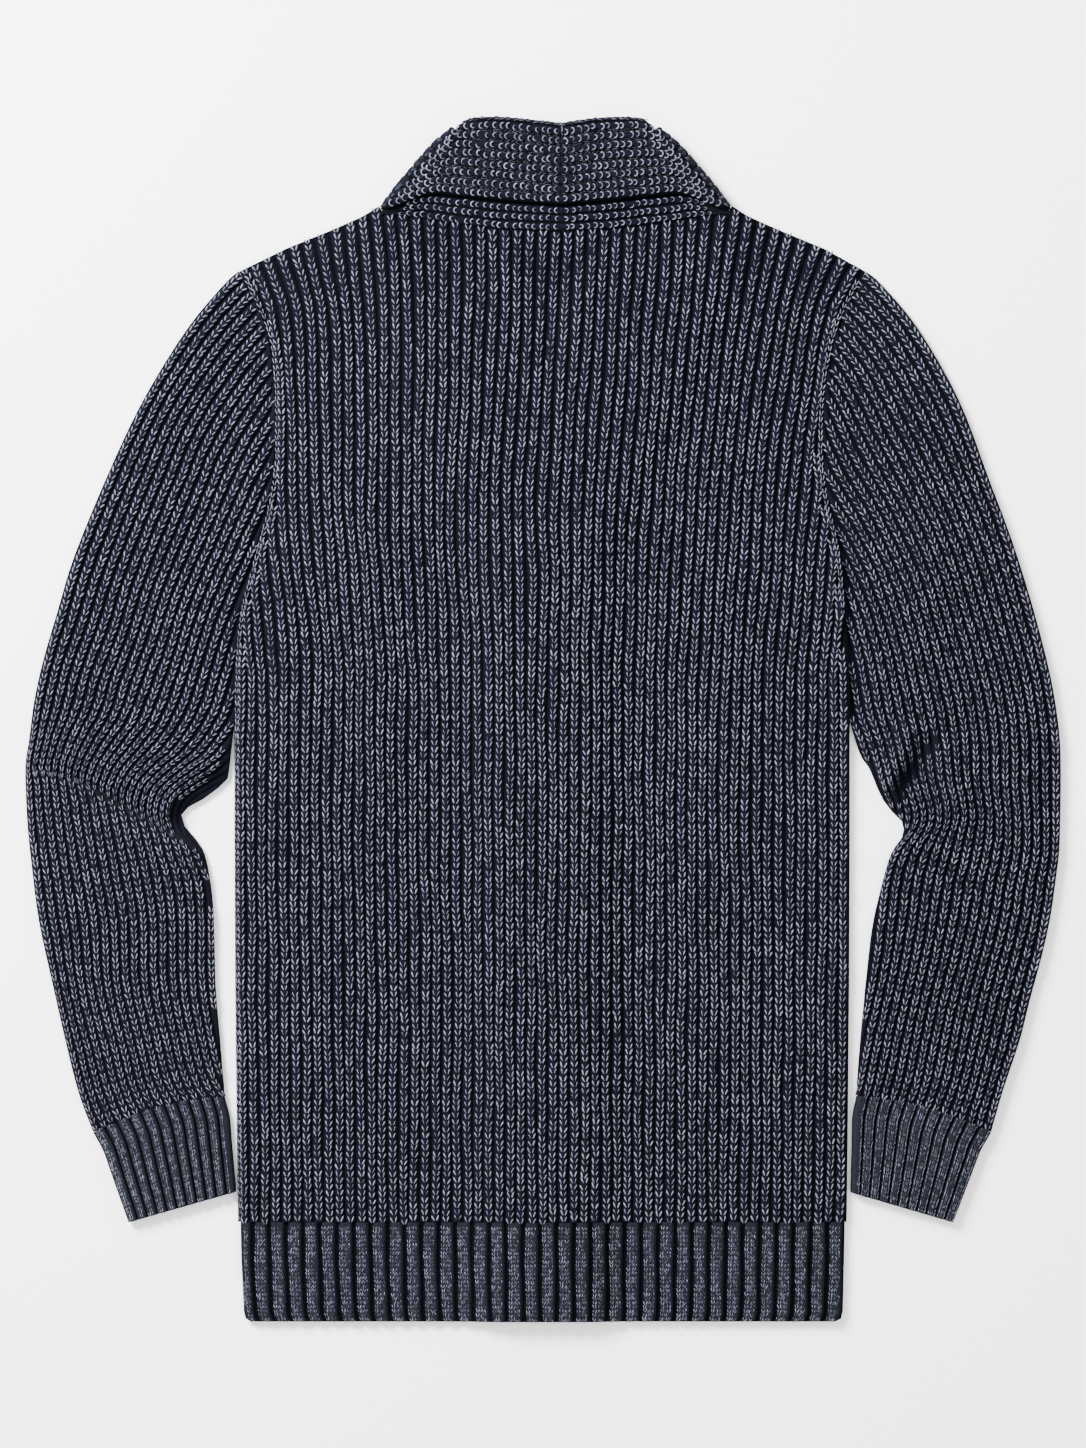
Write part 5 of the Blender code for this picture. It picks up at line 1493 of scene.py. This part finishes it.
def make_sleeve(side):
    table, outer_fold, inner_fold, opening, cuff_end = sleeve_outline(side)
    outline = np.vstack((outer_fold, cuff_end[1:-1], inner_fold[::-1], opening[1:-1][::-1]))
    edge = body_edge(side)
    body_side = edge[(edge[:, 1] > BESIDE_BODY[0]) & (edge[:, 1] < BESIDE_BODY[1])]

    def rolled(x, y):
        """1 in the crook of the elbow."""
        spot_x, spot_y, reach = ROLLED_ELBOW[side]
        return np.exp(-((x - spot_x) ** 2 + (y - spot_y) ** 2) / reach ** 2)

    def raised(x, y):
        deep, reach = UNDER_BODY[side]
        dip = deep * cover(to_line(x, y, body_side), flat=1.0, ramp=reach)
        return fold_height(x, y, SLEEVE_FOLDS[side]) - dip

    tube = flat_tube(outer_fold, inner_fold, INNER_ROUND, rolled, raised)
    curl, top, low = tube
    columns = rib_columns(0, SLEEVE_REACH)
    sample = np.linspace(OUTSET, SLEEVE_REACH, SAMPLES)
    sections = []
    for row in table:
        x, y = sleeve_place(row, sample).T
        slack = END_OUTSET if np.array_equal(row, table[-1]) else OUTSET
        inside = within(x, y, outline) | (to_edge(x, y, outline) < slack)
        last = sample[np.argmin(inside)] if not inside.all() else SLEEVE_REACH
        sections.append(np.minimum(columns, last if inside[:FIRST_SAMPLES].any() else 0.0))
    across = np.array(sections)
    spots = np.array([sleeve_place(row, line) for row, line in zip(table, across)])
    inward = table[:, 2:4] - table[:, :2]
    inward /= np.linalg.norm(inward, axis=1)[:, None]
    width = np.linalg.norm(spots[:, -1] - spots[:, 0], axis=1)
    inset = np.minimum(CLOTH, POCKET_IN * width)
    share = np.clip((np.linalg.norm(spots - spots[:, :1], axis=2) - inset[:, None])
                    / np.maximum(width - 2.0 * inset, POCKET_LEAST)[:, None], 0.0, 1.0)
    start = spots[:, 0] + inward * inset[:, None]
    finish = spots[:, -1] - inward * inset[:, None]
    pocket = start[:, None] + share[..., None] * (finish - start)[:, None]
    open_here = (share > 0.0) & (share < 1.0)
    roof = np.clip(top(pocket[..., 0], pocket[..., 1]) - CLOTH, LAYER, POCKET_HIGH)
    shell = tube_cloth(f"sleeve_cloth_{SIDE_NAME[side]}", spots, rib_relief(across), tube,
                       (pocket, np.where(open_here, roof, MIDDLE_Z),
                        np.where(open_here, CLOTH, MIDDLE_Z)), RIB_STEPS, f"sleeve_{SIDE_NAME[side]}")

    def stitch_top(x, y):
        return top(x, y) + CREST

    def stitch_low(x, y):
        return low(x, y) + UNDER_CREST

    upper_lines, lower_lines = [], []
    fine = smooth_curve(SLEEVE[side], LINE_STEPS)
    creased = np.zeros(len(fine), bool)
    for row in ELBOW_CREASE[side][:1]:
        creased[row * LINE_STEPS:(row + 1) * LINE_STEPS + 1] = True
    for rib in np.arange(SLEEVE_REACH) + 0.5:
        before, spot, after = (np.array([sleeve_place(row, rib + shift) for row in fine])
                               for shift in (-0.5, 0.0, 0.5))
        x, y = spot.T
        heading = np.gradient(spot, axis=0)
        heading /= np.linalg.norm(heading, axis=1)[:, None]
        gap = after - before
        spacing = np.abs(gap[:, 0] * heading[:, 1] - gap[:, 1] * heading[:, 0])
        fold_shade = np.zeros(len(x))
        if side in DEEP_FOLD:
            fold_shade = 1.0 - ease(to_line(x, y, DEEP_FOLD[side]) / DEEP_HALF)
        wide = np.clip(spacing / BODY_PITCH, *SLEEVE_WIDTHS) * STITCH_WIDE * (1.0 - DEEP_SHRINK * fold_shade)
        keep = within(x, y, outline) & ~(creased & (rib > CREASE_FROM)) & (spacing > NARROWEST)
        from_edge = to_edge(x, y, outline)
        # stitches are left off the rolled edge and the deep fold, so that the dark ground paints their
        # shade; the folds are left to the upper side
        above = (keep & (from_edge > TOP_IN) & (fold_shade < DEEP_GONE)
                 & (to_line(x, y, inner_fold) > ROLL_BARE[side] * rolled(x, y)))
        below = keep & (from_edge > LOW_IN) & (curl(x, y) > LOW_CURL)
        for kept, height, lines in ((above, stitch_top, upper_lines), (below, stitch_low, lower_lines)):
            for run in kept_runs(kept):
                places = on_surface(x[run][::-1], y[run][::-1], height, lines is lower_lines)
                lines.append((*places, wide[run][::-1]))
    return shell, upper_lines, lower_lines, outline, cuff_end


CUFF_ENDS = {}
for hand in (-1, 1):
    sleeve, upper_lines, lower_lines, sleeve_edge, CUFF_ENDS[hand] = make_sleeve(hand)
    name = SIDE_NAME[hand]
    top_stitches = knit_stitches(f"sleeve_stitches_{name}", upper_lines, V_STITCH,
                                 ROW_PITCH, seed=61 + hand)
    low_stitches = knit_stitches(f"sleeve_stitches_{name}_under", lower_lines,
                                 V_STITCH_PLAIN, ROW_PITCH, seed=65 + hand)

# ---------------------------------------------------------------- cuffs
# A narrow tube of finer 2x2 rib is knitted on at each wrist and left open at its end.
CUFF_CORNERS = {
    # outer and inner corner at the wrist end
    -1: ((-282.0, -342.0), (-208.5, -321.0)),
    1: ((279.0, -342.0), (209.0, -321.5)),
}
CUFF_RIBS = 11
CUFF_DRAW_IN = 2.0         # how far a cuff draws in below its seam
CUFF_TURNS = ((0.0, 0.0), (0.2, 1.0), (0.55, 0.5), (1.0, 0.0))   # along, share of the draw-in
CUFF_ROWS = 14
CUFF_LINE = (0.975, 0.012, 20)   # share of its length where its lines of stitches begin and end, places
CUFF_COLUMNS = (
    # across the rib, drop, lean and width of the column of stitches that runs there
    (0.26, 0.0, -0.4, 1.15),
    (0.48, 0.0, 0.0, 0.95),
    (0.69, 0.05, 0.4, 0.95),
)
CUFF_STITCH = 0.52
CUFF_SHAPE = (
    # across the rib, height: the grooves are narrower than the hem's
    (0.0, 0.0),
    (0.06, 0.1),
    (0.13, 0.85),
    (0.32, 1.0),
    (0.5, 0.9),
    (0.68, 1.0),
    (0.87, 0.85),
    (0.94, 0.1),
)
INNER_COLUMN = 0.3         # last column of upper stitches on the inner rib; past it they are left off, so that the dark ground paints the fold's shade
CUFF_ROW = 2.5


def make_cuff(side):
    top_end = CUFF_ENDS[side] - np.array((0.0, GAP))
    corners = np.array(CUFF_CORNERS[side])

    def fold(end, t):
        """A fold of the cuff, 0 on its outer and 1 on its inner side."""
        start = top_end[-end]
        draw = CUFF_DRAW_IN * np.interp(t, *np.array(CUFF_TURNS).T)
        return start + np.outer(t, corners[end] - start) - np.column_stack((side * draw, 0.0 * draw))

    def spot(across, t):
        """x and y at a share of the width from the outer fold and of the length."""
        outer = fold(0, t)
        flat = outer + across[:, None] * (fold(1, t) - outer)
        flat[:, 1] += CUFF_BOW * np.sin(math.pi * across) * (1.0 - t)
        return flat

    def stitch_top(x, y):
        return top(x, y) + CREST

    def stitch_low(x, y):
        return low(x, y) + UNDER_CREST

    t_rows = np.linspace(0.0, 1.0, CUFF_ROWS)
    tube = flat_tube(fold(0, t_rows), fold(1, t_rows))
    _curl, top, low = tube
    columns = rib_columns(0, CUFF_RIBS, CUFF_SHAPE)
    share = columns / CUFF_RIBS
    spots = np.array([spot(share, np.full(len(share), t)) for t in t_rows])
    inset = CLOTH / np.linalg.norm(top_end[-1] - top_end[0])
    inner_share = np.clip((share - inset) / (1.0 - 2.0 * inset), 0.0, 1.0)
    pocket = np.array([spot(inset + inner_share * (1.0 - 2.0 * inset), np.full(len(share), t))
                       for t in t_rows])
    at_fold = (inner_share <= 0.0) | (inner_share >= 1.0)
    relief = np.tile(rib_relief(columns, CUFF_SHAPE), (CUFF_ROWS, 1))
    shell = tube_cloth(f"cuff_cloth_{SIDE_NAME[side]}", spots, relief, tube,
                       (pocket, np.where(at_fold, MIDDLE_Z, LAYER), np.where(at_fold, MIDDLE_Z, CLOTH)),
                       BROAD_STEPS, f"cuff_{SIDE_NAME[side]}", RIB_GROUND)
    upper_lines, lower_lines = [], []
    t_line = np.linspace(*CUFF_LINE)
    for rib in range(CUFF_RIBS):
        for column, drop, lean, wide in CUFF_COLUMNS:
            flat = spot(np.full(len(t_line), (rib + column) / CUFF_RIBS), t_line)
            lower_lines.append((*on_surface(*flat.T, stitch_low, True), CUFF_STITCH * wide))
            if rib < CUFF_RIBS - 1 or column <= INNER_COLUMN:   # beyond, the fold rolls under and its stitches are left off, so that the dark ground paints its shade
                upper_lines.append((*leaning(*on_surface(*flat.T, stitch_top), drop, lean),
                                    CUFF_STITCH * wide))
    return shell, upper_lines, lower_lines


for hand in (-1, 1):
    cuff, upper_lines, lower_lines = make_cuff(hand)
    name = SIDE_NAME[hand]
    top_stitches = knit_stitches(f"cuff_stitches_{name}", upper_lines, SLIM_STITCH,
                                 CUFF_ROW, seed=71 + hand, yarn=RIB_YARN)
    low_stitches = knit_stitches(f"cuff_stitches_{name}_under", lower_lines,
                                 V_STITCH_PLAIN, CUFF_ROW, seed=75 + hand, yarn=RIB_YARN)

# ---------------------------------------------------------------- buttons
# Five turned buttons of dark horn, 22 mm across, with a raised rim and four holes. They
# lie face down on the table under the bands, each sewn on with a cross of navy thread.
BUTTON_X = BODY_MID - 0.5
BUTTON_YS = (105.0, -15.0, -135.0, -255.0, -378.0)
BUTTON_PROFILE = (
    # radius, z: from the middle of the face over the rim to the flat back
    (6.4, 0.5),
    (7.3, 0.34),
    (8.2, 0.06),
    (9.2, 0.0),
    (10.1, 0.08),
    (10.8, 0.5),
    (11.0, 1.0),
    (10.7, 1.6),
    (9.9, 2.0),
    (8.0, BUTTON_THICK),
)
BUTTON_SIDES = 48
HOLE_OUT = 2.1             # from the button's middle to a hole's
HOLE_SIDES = 12
HOLE_TURNS = (45.0, 135.0, 225.0, 315.0)
HOLE_PROFILE = (
    # radius, z: wider at its mouth in the face
    (1.4, -1.0),
    (1.4, 0.45),
    (1.05, 0.8),
    (1.05, 4.0),
)
HORN_DARK = (0.38, (0.008, 0.006, 0.005, 1.0))   # place in the streak, colour
HORN_PALE = (0.72, (0.050, 0.034, 0.024, 1.0))
HORN_SHARP = 35.0          # angle from which an edge of the horn looks sharp
THREAD = 0.85              # thickness of the sewing thread
THREAD_SIDES = 8
THREAD_TURNS = (45.0, 135.0)
THREAD_PATH = (
    # how far along towards a hole, z: through the button, over its face and back
    (-1.0, 2.0),
    (-0.98, 0.9),
    (-0.7, 0.48),
    (0.0, 0.45),
    (0.7, 0.48),
    (0.98, 0.9),
    (1.0, 2.0),
)
THREAD_TONES = {"shade": 0.4, "tone": 0.5}
ASIDE = (0.3, 0.5, 0.8)    # a direction that no thread runs along


def horn_material():
    """Dark polished horn with paler streaks running across it."""
    look = new_material("dark_horn", {"Coat Weight": 0.35, "Coat Roughness": 0.2})
    tree = look.node_tree
    place = add_node(tree, "ShaderNodeTexCoord").outputs["Object"]
    turn = add_node(tree, "ShaderNodeMapping", {
        "Vector": place, "Rotation": (0.0, 0.0, 0.6), "Scale": (60.0, 420.0, 200.0)})
    streak = add_node(tree, "ShaderNodeTexNoise", {
        "Vector": turn, "Scale": 1.0, "Detail": 5.0, "Distortion": 0.6})
    ramp = add_node(tree, "ShaderNodeValToRGB", {"Fac": streak})
    dark, pale = ramp.color_ramp.elements
    dark.position, dark.color = HORN_DARK
    pale.position, pale.color = HORN_PALE
    gloss = add_node(tree, "ShaderNodeMapRange", {"Value": streak, "To Min": 0.28, "To Max": 0.46})
    shader = tree.nodes["Principled BSDF"]
    tree.links.new(ramp.outputs["Color"], shader.inputs["Base Color"])
    tree.links.new(gloss.outputs["Result"], shader.inputs["Roughness"])
    return look


def turned_object(name, profile, sides, x, y):
    """A solid turned about an upright axis, from (radius, z) running upwards."""
    angles = 2.0 * math.pi * np.arange(sides) / sides
    rings = [np.column_stack((x + radius * np.cos(angles), y + radius * np.sin(angles),
                              np.full(sides, z))) for radius, z in profile]
    return add_object(name, new_mesh(name, np.vstack(rings), ring_faces(len(rings), sides)))


def make_button(number, y, look):
    name = f"horn_button_{number}"
    disc = turned_object(name, BUTTON_PROFILE, BUTTON_SIDES, BUTTON_X, y)
    drills = []
    for turn in np.radians(HOLE_TURNS):
        drill = turned_object("drill", HOLE_PROFILE, HOLE_SIDES, BUTTON_X + HOLE_OUT * math.cos(turn),
                              y + HOLE_OUT * math.sin(turn))
        cut = disc.modifiers.new("hole", "BOOLEAN")
        cut.operation = "DIFFERENCE"
        cut.object = drill
        drills.append(drill)
    data = finished_mesh(name, disc)
    for drill in drills:
        bpy.data.objects.remove(drill)
    data.materials.clear()
    data.materials.append(look)
    data.shade_smooth()
    data.set_sharp_from_angle(angle=math.radians(HORN_SHARP))
    add_piece(name, data, [f"button_{number}"])


def thread_tube(x, y, turn):
    """Points and faces of one stitch of thread over a button, from hole to opposite hole."""
    along, z = np.array(THREAD_PATH).T
    out = HOLE_OUT * along
    path = np.column_stack((x + out * math.cos(turn), y + out * math.sin(turn), z))
    places = []
    headings = np.gradient(path, axis=0)
    for spot, heading in zip(path, headings / np.linalg.norm(headings, axis=1)[:, None]):
        aside = np.cross(heading, ASIDE)
        aside /= np.linalg.norm(aside)
        above = np.cross(heading, aside)
        for angle in 2.0 * math.pi * np.arange(THREAD_SIDES) / THREAD_SIDES:
            places.append(spot + 0.5 * THREAD * (math.cos(angle) * aside + math.sin(angle) * above))
    return places, ring_faces(len(path), THREAD_SIDES)


HORN = horn_material()
thread_places, thread_faces = [], []
for number, button_y in enumerate(BUTTON_YS, 1):
    make_button(number, button_y, HORN)
    for turn in np.radians(THREAD_TURNS):
        places, faces = thread_tube(BUTTON_X, button_y, turn)
        thread_faces += [tuple(len(thread_places) + i for i in face) for face in faces]
        thread_places += places
thread_mesh = new_mesh("button_thread", thread_places, thread_faces)
for label, value in THREAD_TONES.items():
    store(thread_mesh, label, np.full(len(thread_places), value))
thread_mesh.materials.append(YARN)
thread_mesh.shade_smooth()
add_piece("button_thread", thread_mesh)

for pattern in (V_STITCH, V_STITCH_PLAIN, LOOP_STITCH, SLIM_STITCH):
    bpy.data.objects.remove(pattern)
